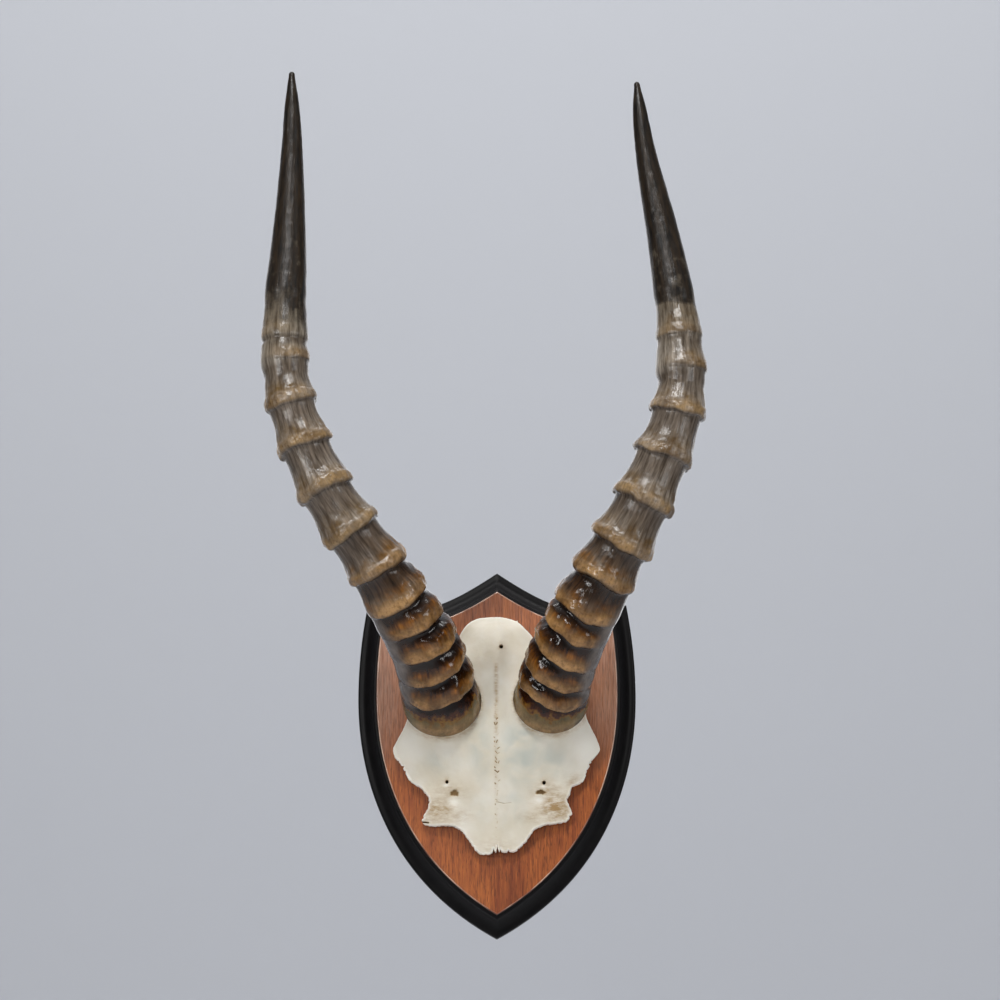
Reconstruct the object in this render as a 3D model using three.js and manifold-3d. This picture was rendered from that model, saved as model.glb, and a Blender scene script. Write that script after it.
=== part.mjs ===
// Horn plaque: a blesbok skull cap with both horns, screwed to a routed wooden shield that hangs on
// a keyhole plate. Millimetres, +Z up. The shield's back lies on the plane y = 0 with its centre at
// the origin, and the trophy looks along -Y.
import * as THREE from 'three';
import { mergeVertices } from 'three/addons/utils/BufferGeometryUtils.js';
import Module from 'manifold-3d';

const wasm = await Module();
wasm.setup();

// Driving dimensions
const GAP = 0.3; // clearance between pieces that touch
const BOARD_HALF_HEIGHT = 108.5;
const BOARD_HALF_WIDTH = 82.4;
const BOARD_THICKNESS = 20;
const SHOULDER = [77.3, 89.2]; // the pointed corner at the top of each side, x and z
const WIDEST_Z = 34;
const FACE_Y = -BOARD_THICKNESS;

// The routed edge as [distance in from the outline, y], from the back to the face:
// a straight edge, a small lip, a hollow cove, a step and the sharp border of the face
const EDGE_PROFILE = [
  [0.8, 0], [0, -0.8], [0, -6.6], [0.9, -7.8], [2.8, -8.3], [5.4, -9.8],
  [7.7, -12.6], [9.3, -17.2], [11.2, -18.2], [11.8, FACE_Y],
];

const ROOF_POINTS = 14; // points along each half of the roof, and down each side
const SIDE_POINTS = 23;
const CURVE_STEPS = 60; // fine steps along each drawn curve before it is resampled

const HORN_SIDES = 18;
const BASE_LEAN = THREE.MathUtils.degToRad(70); // between the wall and the normal of each horn's base rim
const BASE_BLEND = 26; // distance along the horn over which its sections turn square to it
const RING_DEPTH = 0.19; // how far the waist under a ring is pulled in, as a share of the radius
const RING_AT_BACK = 0.5; // how bold a ring is at the horn's back, against 1 at its front
const RING_FADE = 0.75; // how much of a ring's depth is lost from the first fading ring to the last
const FIRST_FADING_RING = 8;
// Sections from one crest to the next as [share of the way, share of the waist's depth]:
// the crest, its shoulder, the flare and the waist
const RING_SECTIONS = [[0, 0], [0.14, 0.14], [0.48, 0.7], [0.86, 1]];
const COLLAR_WAIST = 0.75; // the first waist's share of the way from the base to the first crest
const LAST_PITCH = 22; // length of the last ring's flare
const TIP_STEPS = 8;
const TIP_CUT = 2; // how far short of its point the horn ends
const PEDICLE_RADIUS = 19.5;
// The bony neck under a horn as [distance along its axis from the rim, how much wider it is there]
const PEDICLE_FLARE = [[-15, 2.5], [-6, 0.6], [0.5, 0]];
const PEDICLE_SIDES = 24;

// Each horn: its centre line from base to tip, its radius at distances from the base, and the
// distance of every ring's crest from the base
const HORNS = {
  horn_left: {
    path: [
      [-32, -42, 25], [-38, -68, 46], [-48, -88, 64], [-67, -106, 92], [-96, -120, 134],
      [-116, -124, 183], [-120.5, -123.5, 229], [-119, -123.5, 277], [-118, -126, 332], [-118.5, -131, 379],
    ],
    radius: [[0, 22.8], [30, 21.4], [65, 19.6], [128, 18.2], [183, 16.4], [233, 14], [281, 11.4],
      [330, 8], [357, 6.2], [384, 4.2], [401, 1.8]],
    rings: [18.5, 33.5, 50, 64.5, 81, 102, 128, 155, 182, 208, 233, 247],
  },
  horn_right: {
    path: [
      [31.5, -42, 26], [36, -62.5, 43], [46, -85, 64], [60, -100.5, 88.5], [83, -112.5, 130],
      [102.5, -116.5, 181], [104, -116, 225], [96.5, -116, 280], [86, -119, 334], [81, -123, 376],
    ],
    radius: [[0, 21.8], [30, 20.9], [65, 19.7], [114, 19.4], [168, 17.8], [220, 14.8], [267, 11.4],
      [322, 8], [350, 6], [376, 4], [390, 1.8]],
    rings: [16, 27.5, 43, 58.5, 72, 92, 114, 140, 168, 195, 220, 240],
  },
};

// The skull cap's cut edge, seen from the front, as [x, z] from the top of the braincase down its
// left side (-X), round the nose end and up the other side
const CAP_OUTLINE = [
  [-3, 78], [-10, 77.5], [-15, 75.5], [-19, 72], [-22, 67], [-24, 60], [-31, 52], [-43, 43],
  [-50, 31], [-52, 17], [-57, 7], [-60.5, 0], [-59.5, -5], [-55, -10.5], [-50.5, -19], [-44, -23],
  [-40, -28], [-40, -33.5], [-43.5, -42], [-38, -45], [-27, -44.5], [-21, -47.5], [-15, -55],
  [-11.5, -60], [-8, -61.5], [0, -60],
  [7, -60], [12, -59], [17, -53.5], [21.5, -47.5], [28.5, -44], [38, -43], [41.5, -41.5], [43.5, -37],
  [41, -31], [42.5, -26.5], [44, -22], [50, -19], [53, -12], [56, -6], [60, -1], [58.5, 5],
  [52, 18], [50, 31], [43, 43], [31, 52], [24, 59], [21.5, 65], [17, 70], [12, 75], [5, 77.5],
];
const CAP_GRID = 6; // spacing of the points that carry the bone's relief
const CAP_SIZE = { left: -66, right: 66, bottom: -66, top: 84 };
// Height of the bone over the board along its midline, and the half width over which it falls away,
// both as [z, distance]
const CAP_MIDLINE = [
  [-66, 6], [-45, 9.5], [-20, 15], [0, 20], [20, 23], [45, 24], [60, 22], [70, 16], [77, 8], [84, 3],
];
const CAP_HALF_WIDTH = [
  [-66, 17], [-45, 46], [-20, 53], [0, 64], [20, 58], [45, 48], [60, 28], [84, 22],
];
const CAP_EDGE = 3; // least thickness of the bone
const CAP_CROWN = 0.75; // how full the bone's cross section is
const CAP_DEPTH = 80; // deeper than the whole cap stands off the wall
const CAP_RIDGE = { height: 1.2, width: 5 }; // the low ridge along the midline
// How far the outer edges and the nose end stand off the board, and the distances from the midline
// and below the centre over which they rise; the wings' lift ends between the two heights
const WING_LIFT = { rise: 4.5, from: 34, to: 60, low: 20, high: 45 };
const NOSE_LIFT = { rise: 2.5, from: 30, to: 60 };
// Where the bone swells up to each horn
const PEDICLE_HILL = { x: 33, z: 18, width: 17, height: 20, rise: 9 };

// Hardware; hole, slot, shank and head are radii, and sink is how far a head sits under the back
const SKULL_SCREW = { x: 33, z: 27, length: 34, shank: 1.9, head: 4.2, headHeight: 2.6, sink: 1.2 };
const PLATE_SCREW = { length: 12, shank: 1.3, head: 2.8, headHeight: 1.3, sink: 0 };
const PLATE = {
  z: 62, width: 16, height: 50, thickness: 1.5, hole: 4.8, slot: 2.4, slotLength: 12, screwSpacing: 40,
};
const KEYHOLE_HOLLOW = { depth: 9, margin: 1 }; // the hollow behind the keyhole, for the wall screw's head
const SCREW_SIDES = 14;
const SCREW_RIM = 0.4; // height of the head's straight rim
const SCREW_POINT = { start: 0.85, radius: 0.4 }; // where on its length a screw begins to taper, and its end
const ARC_STEPS = 8; // steps along each arc of a pushed shape
const CUT = 1; // how far a cutting shape runs past the face that it cuts
const WELD = 1e-4; // points closer than this are one

const MATERIALS = {
  mahogany: new THREE.MeshStandardMaterial({ color: 0x9c5c3f, roughness: 0.45, metalness: 0 }),
  bone: new THREE.MeshStandardMaterial({ color: 0xe0dacb, roughness: 0.6, metalness: 0 }),
  horn: new THREE.MeshStandardMaterial({ color: 0x6b5741, roughness: 0.4, metalness: 0 }),
  zinc: new THREE.MeshStandardMaterial({ color: 0xb4b6b8, roughness: 0.35, metalness: 1 }),
  steel: new THREE.MeshStandardMaterial({ color: 0xc3b27a, roughness: 0.35, metalness: 1 }),
};

// Straight-line reading of a list of [x, value] pairs
function along(pairs, x) {
  if (x <= pairs[0][0]) return pairs[0][1];
  for (let i = 1; i < pairs.length; i++) {
    const [x0, v0] = pairs[i - 1];
    const [x1, v1] = pairs[i];
    if (x <= x1) return v0 + (v1 - v0) * (x - x0) / (x1 - x0);
  }
  return pairs[pairs.length - 1][1];
}

// Solids and meshes
function solidOf(geometry) {
  const g = geometry.index ? geometry.clone() : geometry;
  for (const name of Object.keys(g.attributes)) {
    if (name !== 'position') g.deleteAttribute(name);
  }
  const merged = mergeVertices(g, WELD);
  return new wasm.Manifold(new wasm.Mesh({
    numProp: 3,
    vertProperties: new Float32Array(merged.attributes.position.array),
    triVerts: new Uint32Array(merged.index.array),
  }));
}

function geometryOf(solid) {
  const mesh = solid.getMesh();
  const g = new THREE.BufferGeometry();
  g.setAttribute('position', new THREE.BufferAttribute(new Float32Array(mesh.vertProperties), 3));
  g.setIndex(Array.from(mesh.triVerts));
  g.computeVertexNormals();
  return g;
}

function geometryFrom(points, triangles) {
  const g = new THREE.BufferGeometry();
  g.setAttribute('position', new THREE.Float32BufferAttribute(points.flat(), 3));
  g.setIndex(triangles.flat());
  g.computeVertexNormals();
  return g;
}

// A closed skin over loops of equal point count; flat outlines close both of its ends
function loft(loops, startFaces, endFaces) {
  const n = loops[0].length;
  const triangles = [];
  for (let i = 0; i + 1 < loops.length; i++) {
    for (let j = 0; j < n; j++) {
      const a = i * n + j;
      const b = i * n + (j + 1) % n;
      triangles.push([a, b, b + n], [a, b + n, a + n]);
    }
  }
  const last = (loops.length - 1) * n;
  for (const [a, b, c] of startFaces) triangles.push([c, b, a]);
  for (const [a, b, c] of endFaces) triangles.push([a + last, b + last, c + last]);
  return geometryFrom(loops.flat(), triangles);
}

// A shape drawn in x and z, pushed from y0 to y1
function slab(shape, y0, y1) {
  const depth = Math.abs(y1 - y0);
  const g = new THREE.ExtrudeGeometry(shape, { depth, bevelEnabled: false, curveSegments: ARC_STEPS });
  return g.rotateX(Math.PI / 2).translate(0, Math.max(y0, y1), 0);
}

// A solid turned about the Y axis; the profile is [radius, y] with y falling away from the wall
function turned(profile, x, z) {
  const points = profile.map(([r, y]) => new THREE.Vector2(r, y)).reverse();
  return new THREE.LatheGeometry(points, SCREW_SIDES).translate(x, 0, z);
}

// Shield board
function bezier(...points) {
  return new THREE.CubicBezierCurve(...points.map(([x, z]) => new THREE.Vector2(x, z)));
}

// The right half of the outline
const ROOF = bezier([0, BOARD_HALF_HEIGHT], [22, 94], [48, 77], SHOULDER);
const UPPER_SIDE = bezier(SHOULDER, [80.5, 72], [BOARD_HALF_WIDTH, 54], [BOARD_HALF_WIDTH, WIDEST_Z]);
const LOWER_SIDE = bezier(
  [BOARD_HALF_WIDTH, WIDEST_Z], [BOARD_HALF_WIDTH, -20], [60, -76.5], [0, -BOARD_HALF_HEIGHT],
);

// Points of one or more joined curves, moved inwards square to the curve
function insetLine(curves, inset) {
  const line = [];
  for (const curve of curves) {
    for (let i = 0; i <= CURVE_STEPS; i++) {
      const p = curve.getPoint(i / CURVE_STEPS);
      const t = curve.getTangent(i / CURVE_STEPS);
      line.push([p.x + t.y * inset, p.y - t.x * inset]);
    }
  }
  return line;
}

// Where two lines of points first cross, as their indices and the crossing point
function crossing(a, b) {
  for (let i = 0; i + 1 < a.length; i++) {
    for (let j = b.length - 2; j >= 0; j--) {
      const [rx, rz] = [a[i + 1][0] - a[i][0], a[i + 1][1] - a[i][1]];
      const [sx, sz] = [b[j + 1][0] - b[j][0], b[j + 1][1] - b[j][1]];
      const det = rx * sz - rz * sx;
      if (det === 0) continue;
      const [dx, dz] = [b[j][0] - a[i][0], b[j][1] - a[i][1]];
      const u = (dx * sz - dz * sx) / det;
      const v = (dx * rz - dz * rx) / det;
      if (u >= 0 && u <= 1 && v >= 0 && v <= 1) return { i, j, point: [a[i][0] + rx * u, a[i][1] + rz * u] };
    }
  }
  return null;
}

// The same line with count points at equal steps, without its last one
function resample(line, count) {
  const curve = new THREE.CurvePath();
  for (let i = 0; i + 1 < line.length; i++) {
    if (Math.hypot(line[i + 1][0] - line[i][0], line[i + 1][1] - line[i][1]) < WELD) continue;
    curve.add(new THREE.LineCurve(new THREE.Vector2(...line[i]), new THREE.Vector2(...line[i + 1])));
  }
  return Array.from({ length: count }, (_, k) => {
    const p = curve.getPoint(k / count);
    return [p.x, p.y];
  });
}

// The whole outline at one inset, anticlockwise from the apex, with its four corners kept sharp
function boardOutline(inset) {
  const middle = [[0, 2 * BOARD_HALF_HEIGHT], [0, -2 * BOARD_HALF_HEIGHT]];
  let roof = insetLine([ROOF], inset);
  let side = insetLine([UPPER_SIDE, LOWER_SIDE], inset);
  if (inset > 0) {
    const apex = crossing(roof, middle);
    roof = [apex.point, ...roof.slice(apex.i + 1)];
    const tip = crossing([...side].reverse(), middle);
    side = [...side.slice(0, side.length - 1 - tip.i), tip.point];
    const corner = crossing(roof, side);
    roof = [...roof.slice(0, corner.i + 1), corner.point];
    side = [corner.point, ...side.slice(corner.j + 1)];
  }
  const right = [...resample(roof, ROOF_POINTS), ...resample(side, SIDE_POINTS)];
  const tip = side[side.length - 1];
  const left = right.slice(1).map(([x, z]) => [-x, z]);
  return [right[0], ...left, tip, ...right.slice(1).reverse()];
}

// A countersunk screw, head up to its point; grow makes the hole that clears it
function screwProfile({ length, shank, head, headHeight, sink }, grow = 0) {
  const top = grow > 0 ? CUT : -sink;
  const foot = -sink - length - grow;
  return [
    [0, top], [head + grow, top], [head + grow, -sink - SCREW_RIM - grow],
    [shank + grow, -sink - headHeight - grow], [shank + grow, -sink - length * SCREW_POINT.start - grow],
    [SCREW_POINT.radius + grow, foot], [0, foot],
  ];
}

function keyhole(z) {
  const k = new THREE.Path();
  const turn = Math.asin(PLATE.slot / PLATE.hole);
  k.absarc(0, z, PLATE.hole, Math.PI / 2 - turn, -Math.PI * 1.5 + turn, true);
  k.absarc(0, z + PLATE.slotLength, PLATE.slot, Math.PI, 0, true);
  k.closePath();
  return k;
}

function stadium(width, height, z) {
  const s = new THREE.Shape();
  const r = width / 2;
  s.absarc(0, z + height / 2 - r, r, 0, Math.PI, false);
  s.absarc(0, z - height / 2 + r, r, Math.PI, 2 * Math.PI, false);
  s.closePath();
  return s;
}

const plateScrewHeights = [PLATE.z - PLATE.screwSpacing / 2, PLATE.z + PLATE.screwSpacing / 2];
const skullScrewPlaces = [-SKULL_SCREW.x, SKULL_SCREW.x];

function shieldBoard() {
  const outlines = EDGE_PROFILE.map(([inset, y]) => boardOutline(inset).map(([x, z]) => [x, y, z]));
  const cover = (loop) => {
    const flat = loop.map(([x, , z]) => new THREE.Vector2(x, z));
    return THREE.ShapeUtils.triangulateShape(flat, []);
  };
  let board = solidOf(loft(outlines, cover(outlines[0]), cover(outlines[outlines.length - 1])));
  const recess = stadium(PLATE.width + 2 * GAP, PLATE.height + 2 * GAP, PLATE.z);
  board = board.subtract(solidOf(slab(recess, CUT, -PLATE.thickness - GAP)));
  const room = PLATE.hole + KEYHOLE_HOLLOW.margin;
  const hollow = stadium(2 * room, PLATE.slotLength + 2 * room, PLATE.z);
  board = board.subtract(solidOf(slab(hollow, CUT, -KEYHOLE_HOLLOW.depth)));
  for (const z of plateScrewHeights) {
    board = board.subtract(solidOf(turned(screwProfile(PLATE_SCREW, GAP), 0, z)));
  }
  for (const x of skullScrewPlaces) {
    board = board.subtract(solidOf(turned(screwProfile(SKULL_SCREW, GAP), x, SKULL_SCREW.z)));
  }
  return geometryOf(board);
}

function hangerPlate() {
  const shape = stadium(PLATE.width, PLATE.height, PLATE.z);
  shape.holes.push(keyhole(PLATE.z - PLATE.slotLength / 2));
  let plate = solidOf(slab(shape, 0, -PLATE.thickness));
  for (const z of plateScrewHeights) {
    plate = plate.subtract(solidOf(turned(screwProfile(PLATE_SCREW, GAP), 0, z)));
  }
  return geometryOf(plate);
}

// Horns
function hornSections({ path, radius, rings }, grow = 0) {
  const points = path.map((p) => new THREE.Vector3(...p));
  const curve = new THREE.CatmullRomCurve3(points, false, 'catmullrom', 0.5);
  const length = curve.getLength();
  const lastRing = rings[rings.length - 1];
  const plain = lastRing + LAST_PITCH;
  const stops = [[0, 0], [rings[0] * COLLAR_WAIST, 1]];
  rings.forEach((s, k) => {
    const pitch = (k + 1 < rings.length ? rings[k + 1] : plain) - s;
    for (const [share, waist] of RING_SECTIONS) stops.push([s + share * pitch, waist]);
  });
  for (let k = 1; k <= TIP_STEPS; k++) stops.push([plain + (length - TIP_CUT - plain) * k / TIP_STEPS, 0]);
  return stops.map(([s, waist]) => {
    const u = Math.min(s / length, 1);
    const centre = curve.getPointAt(u);
    const tangent = curve.getTangentAt(u);
    const rim = new THREE.Vector3(0, -Math.sin(BASE_LEAN), Math.cos(BASE_LEAN));
    const normal = rim.lerp(tangent, Math.min(s / BASE_BLEND, 1)).normalize();
    const side = new THREE.Vector3().crossVectors(normal, new THREE.Vector3(0, -1, 0)).normalize();
    const front = new THREE.Vector3().crossVectors(side, normal).normalize();
    const faded = Math.max(s - rings[FIRST_FADING_RING], 0) / (lastRing - rings[FIRST_FADING_RING]);
    const depth = RING_DEPTH * waist * Math.max(1 - RING_FADE * faded, 0);
    return Array.from({ length: HORN_SIDES }, (_, j) => {
      const a = 2 * Math.PI * j / HORN_SIDES;
      const bold = RING_AT_BACK + (1 - RING_AT_BACK) * (1 + Math.cos(a)) / 2;
      const r = along(radius, s) * (1 - depth * bold) + grow;
      return centre.clone()
        .addScaledVector(front, r * Math.cos(a))
        .addScaledVector(side, r * Math.sin(a))
        .toArray();
    });
  });
}

function horn(spec, grow = 0) {
  const sections = hornSections(spec, grow);
  if (grow > 0) {
    // The clearance shape starts a little below the horn's base
    const [dy, dz] = [Math.sin(BASE_LEAN) * grow, -Math.cos(BASE_LEAN) * grow];
    sections[0] = sections[0].map(([x, y, z]) => [x, y + dy, z + dz]);
  }
  const fan = Array.from({ length: HORN_SIDES - 2 }, (_, j) => [0, j + 1, j + 2]);
  return loft(sections, fan, fan);
}

// Skull cap
function capHeight(x, z) {
  const ridge = CAP_RIDGE.height * Math.exp(-((x / CAP_RIDGE.width) ** 2));
  const fall = Math.min(Math.abs(x) / along(CAP_HALF_WIDTH, z), 1);
  const crown = (1 - fall ** 2) ** CAP_CROWN;
  const hill = [-PEDICLE_HILL.x, PEDICLE_HILL.x].reduce((sum, hx) => {
    const spread = ((x - hx) / PEDICLE_HILL.width) ** 2 + ((z - PEDICLE_HILL.z) / PEDICLE_HILL.height) ** 2;
    return sum + PEDICLE_HILL.rise * Math.exp(-spread);
  }, 0);
  const rim = CAP_EDGE + capLift(x, z);
  return Math.max(rim + (along(CAP_MIDLINE, z) - CAP_EDGE) * crown + ridge + hill - capLift(x, z), rim);
}

// Height of the bone's underside over the board
function capLift(x, z) {
  const { smoothstep } = THREE.MathUtils;
  const wing = smoothstep(Math.abs(x), WING_LIFT.from, WING_LIFT.to);
  const fading = 1 - smoothstep(z, WING_LIFT.low, WING_LIFT.high);
  return WING_LIFT.rise * wing * fading + NOSE_LIFT.rise * smoothstep(-z, NOSE_LIFT.from, NOSE_LIFT.to);
}

function skullCap(hornSpecs) {
  const { left, right, bottom, top } = CAP_SIZE;
  const columns = (right - left) / CAP_GRID;
  const rows = (top - bottom) / CAP_GRID;
  const points = [];
  for (const under of [false, true]) {
    for (let r = 0; r <= rows; r++) {
      for (let c = 0; c <= columns; c++) {
        const [x, z] = [left + c * CAP_GRID, bottom + r * CAP_GRID];
        const height = under ? capLift(x, z) : capHeight(x, z);
        points.push([x, FACE_Y - GAP - height, z]);
      }
    }
  }
  const stride = columns + 1;
  const layer = stride * (rows + 1);
  const triangles = [];
  const quad = (a, b, c, d) => triangles.push([a, b, c], [a, c, d]);
  for (let r = 0; r < rows; r++) {
    for (let c = 0; c < columns; c++) {
      const a = r * stride + c;
      quad(a, a + 1, a + 1 + stride, a + stride);
      quad(a + layer, a + layer + stride, a + layer + stride + 1, a + layer + 1);
    }
    const [l, m] = [r * stride, r * stride + columns];
    quad(l, l + stride, l + stride + layer, l + layer);
    quad(m, m + layer, m + layer + stride, m + stride);
  }
  for (let c = 0; c < columns; c++) {
    const [l, m] = [c, rows * stride + c];
    quad(l, l + layer, l + layer + 1, l + 1);
    quad(m, m + 1, m + 1 + layer, m + layer);
  }
  let cap = solidOf(geometryFrom(points, triangles));
  const outline = new THREE.Shape(CAP_OUTLINE.map(([x, z]) => new THREE.Vector2(x, z)));
  cap = cap.intersect(solidOf(slab(outline, 0, -CAP_DEPTH)));
  for (const spec of hornSpecs) {
    cap = cap.add(solidOf(pedicle(spec)));
  }
  for (const spec of hornSpecs) {
    cap = cap.subtract(solidOf(horn(spec, GAP)));
  }
  for (const x of skullScrewPlaces) {
    cap = cap.subtract(solidOf(turned(screwProfile(SKULL_SCREW, GAP), x, SKULL_SCREW.z)));
  }
  return geometryOf(cap);
}

// The bony stump that carries a horn: a flared round neck from the bone to just inside the rim
function pedicle({ path }) {
  const axis = new THREE.Vector3(0, -Math.sin(BASE_LEAN), Math.cos(BASE_LEAN));
  const base = new THREE.Vector3(...path[0]);
  const side = new THREE.Vector3(1, 0, 0);
  const front = new THREE.Vector3().crossVectors(side, axis);
  const loops = PEDICLE_FLARE.map(([d, wider]) => Array.from({ length: PEDICLE_SIDES }, (_, j) => {
    const a = -2 * Math.PI * j / PEDICLE_SIDES;
    const r = PEDICLE_RADIUS + wider;
    const p = base.clone().addScaledVector(axis, d)
      .addScaledVector(side, r * Math.cos(a))
      .addScaledVector(front, r * Math.sin(a));
    return [p.x, Math.min(p.y, FACE_Y - GAP), p.z];
  }));
  const fan = Array.from({ length: PEDICLE_SIDES - 2 }, (_, j) => [0, j + 1, j + 2]);
  return loft(loops, fan, fan);
}

// Assembly
const plaque = new THREE.Group();

function place(name, geometry, material) {
  const mesh = new THREE.Mesh(geometry, material);
  mesh.name = name;
  plaque.add(mesh);
}

place('shield_board', shieldBoard(), MATERIALS.mahogany);
place('skull_cap', skullCap(Object.values(HORNS)), MATERIALS.bone);
for (const [name, spec] of Object.entries(HORNS)) {
  place(name, horn(spec), MATERIALS.horn);
}
place('hanger_plate', hangerPlate(), MATERIALS.zinc);
plateScrewHeights.forEach((z, i) => {
  place(`hanger_screw_${i + 1}`, turned(screwProfile(PLATE_SCREW), 0, z), MATERIALS.steel);
});
['left', 'right'].forEach((name, i) => {
  const screw = turned(screwProfile(SKULL_SCREW), skullScrewPlaces[i], SKULL_SCREW.z);
  place(`skull_screw_${name}`, screw, MATERIALS.steel);
});

export default plaque;
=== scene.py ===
# Horn plaque: a blesbok skull cap and both horns on a routed mahogany shield with a keyhole hanger.
# Built in millimetres and scaled to metres when each mesh is made.
import math
from functools import partial

import bmesh
import bpy
import numpy as np
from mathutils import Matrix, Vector
from mathutils.geometry import delaunay_2d_cdt


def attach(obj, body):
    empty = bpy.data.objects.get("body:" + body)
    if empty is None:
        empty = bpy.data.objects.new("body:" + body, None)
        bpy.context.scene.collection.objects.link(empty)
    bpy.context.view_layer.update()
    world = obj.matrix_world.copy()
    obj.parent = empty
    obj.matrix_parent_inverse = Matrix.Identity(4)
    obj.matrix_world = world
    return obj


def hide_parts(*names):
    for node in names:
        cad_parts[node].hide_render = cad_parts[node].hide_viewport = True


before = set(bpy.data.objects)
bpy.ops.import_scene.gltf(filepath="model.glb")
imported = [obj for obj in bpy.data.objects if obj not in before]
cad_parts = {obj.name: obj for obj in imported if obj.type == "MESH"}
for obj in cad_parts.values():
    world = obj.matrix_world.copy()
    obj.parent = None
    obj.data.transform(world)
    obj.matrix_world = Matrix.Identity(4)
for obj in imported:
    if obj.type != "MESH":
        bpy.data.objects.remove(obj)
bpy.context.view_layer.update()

MM = 0.001
SCENE = bpy.context.scene
RANDOM = np.random.default_rng(11)

# The camera stands 1.6 m off, below the plaque, and looks 13 degrees up, as in the photograph
CAMERA_PLACE = (1.78, -1593.0, -212.5)
CAMERA_PITCH = 13
CAMERA_LENS = 97.06  # with the usual 36 mm sensor

# Shield
HALF_HEIGHT = 108.5
HALF_WIDTH = 82.4
SHOULDER = (77.3, 89.2)
WIDEST_Z = 34
FACE_Y = -20
BONE_BACK_Y = -20.3  # the skull cap's datum, a clearance off the face
ROOF_POINTS, SIDE_POINTS = 44, 96
# Rows of the routed edge as (distance in from the outline, y), from the back round to the face
EDGE_ROWS = [
    (1.4, 0), (0.8, 0), (0.36, -0.16), (0.1, -0.48), (0, -0.9), (0, -3.4), (0, -6.1),
    (0.1, -6.9), (0.42, -7.5), (0.95, -7.86), (1.7, -8.02), (2.8, -8.25), (3.7, -8.6), (4.6, -9.2),
    (5.4, -9.9), (6.2, -10.8), (7, -11.95), (7.7, -13.2), (8.3, -14.5), (8.8, -15.9), (9.12, -17),
    (9.35, -17.5), (9.75, -17.82), (10.4, -18), (11, -18.12), (11.24, -18.34), (11.36, -18.9),
    (11.45, -19.5), (11.56, -19.8), (11.78, -19.96), (12.05, FACE_Y), (12.7, FACE_Y),
]
STEP_ROW, ARRIS_ROW, FACE_ROW = 24, 27, 30  # where the bare step, the arris and the face begin

# Horns: centre line from base to tip, radius at distances from the base, and each ring as
# (distance from the base, strength, side it keeps to: -1 left, 0 all round, 1 right, rise on the inner side);
# tip is where the dark tip begins, as (from, to, how much lower on the right side)
BASE_LEAN = math.radians(70)
BASE_BLEND = 26
RING_DEPTH = 0.19
PEDICLE_RADIUS = 19.5
HORNS = {
    "horn_left": {
        "path": [
            (-32, -42, 25), (-38, -68, 46), (-48, -88, 64), (-67, -106, 92), (-96, -120, 134),
            (-116, -124, 183), (-120.5, -123.5, 229), (-119, -123.5, 277), (-118, -126, 332),
            (-118.5, -131, 379),
        ],
        "radius": [(0, 22.8), (30, 21.4), (65, 19.6), (128, 18.2), (183, 16.4), (233, 14),
                   (281, 11.4), (330, 8), (357, 6.2), (384, 4.2), (401, 1.8)],
        "rings": [(2, 0.4, 0, 0), (18.5, 1, 0, 0), (33.5, 1, 0, 1), (50, 1, 0, -2), (64.5, 1, 0, -1),
                  (81, 1, 0, 0), (102, 1, 0, 0), (128, 1, 0, 0), (155, 1, 0, 0), (182, 0.95, 0, 0),
                  (208, 0.8, 0, 0), (233, 0.55, 1, 0), (247, 0.35, -1, 0)],
        "inner": 1,  # which way the other horn is
        "tip": (244, 270, 7),
    },
    "horn_right": {
        "path": [
            (31.5, -42, 26), (36, -62.5, 43), (46, -85, 64), (60, -100.5, 88.5), (83, -112.5, 130),
            (102.5, -116.5, 181), (104, -116, 225), (96.5, -116, 280), (86, -119, 334), (81, -123, 376),
        ],
        "radius": [(0, 21.8), (30, 20.9), (65, 19.7), (114, 19.4), (168, 17.8), (220, 14.8),
                   (267, 11.4), (322, 8), (350, 6), (376, 4), (390, 1.8)],
        "rings": [(2, 0.4, 0, 0), (16, 1, 0, 3), (27.5, 1, 0, 1.5), (43, 1, 0, 3), (58.5, 1, 0, 1),
                  (72, 1, 0, 0), (92, 1, 0, 0), (114, 1, 0, 0), (140, 1, 0, 0), (168, 0.95, 0, 0),
                  (195, 0.85, 0, 0), (220, 0.6, 1, 0), (240, 0.35, 0, 0)],
        "inner": -1,
        "tip": (254.4, 257.6, 1.75),
    },
}
HORN_SIDES = 116
PATH_STEPS = 60  # fine points from one point of the centre line to the next
BODY_STEP, BEAD_STEP = 0.78, 0.31  # from one section to the next
LAST_FLARE = 30.0
TIP_LENGTH = 2.2  # of the rounded end
LIP_DEPTH = 3  # how far the base is hollow
BEAD = 4.6  # how far a ring's bead runs past its crest towards the tip
UNDERCUT = 3.8  # how far below the next crest its underside begins

# Skull cap
CAP_OUTLINE = [
    (-3, 78), (-10, 77.5), (-15, 75.5), (-19, 72), (-22, 67), (-24, 60), (-31, 52), (-43, 43),
    (-50, 31), (-52, 17), (-57, 7), (-60.5, 0), (-59.5, -5), (-55, -10.5), (-50.5, -19), (-44, -23),
    (-40, -28), (-40, -33.5), (-43.5, -42), (-38, -45), (-27, -44.5), (-21, -47.5), (-15, -55),
    (-11.5, -60), (-8, -61.5), (0, -60), (7, -60), (12, -59), (17, -53.5), (21.5, -47.5), (28.5, -44),
    (38, -43), (41.5, -41.5), (43.5, -37), (41, -31), (42.5, -26.5), (44, -22), (50, -19), (53, -12),
    (56, -6), (60, -1), (58.5, 5), (52, 18), (50, 31), (43, 43), (31, 52), (24, 59), (21.5, 65),
    (17, 70), (12, 75), (5, 77.5),
]
CAP_MIDLINE = [
    (-66, 6), (-45, 9.5), (-20, 15), (0, 20), (20, 23), (45, 24), (60, 22), (70, 16), (77, 8), (84, 3),
]
CAP_HALF_WIDTH = [(-66, 17), (-45, 46), (-20, 53), (0, 64), (20, 58), (45, 48), (60, 28), (84, 22)]
CAP_EDGE = 3
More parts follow.
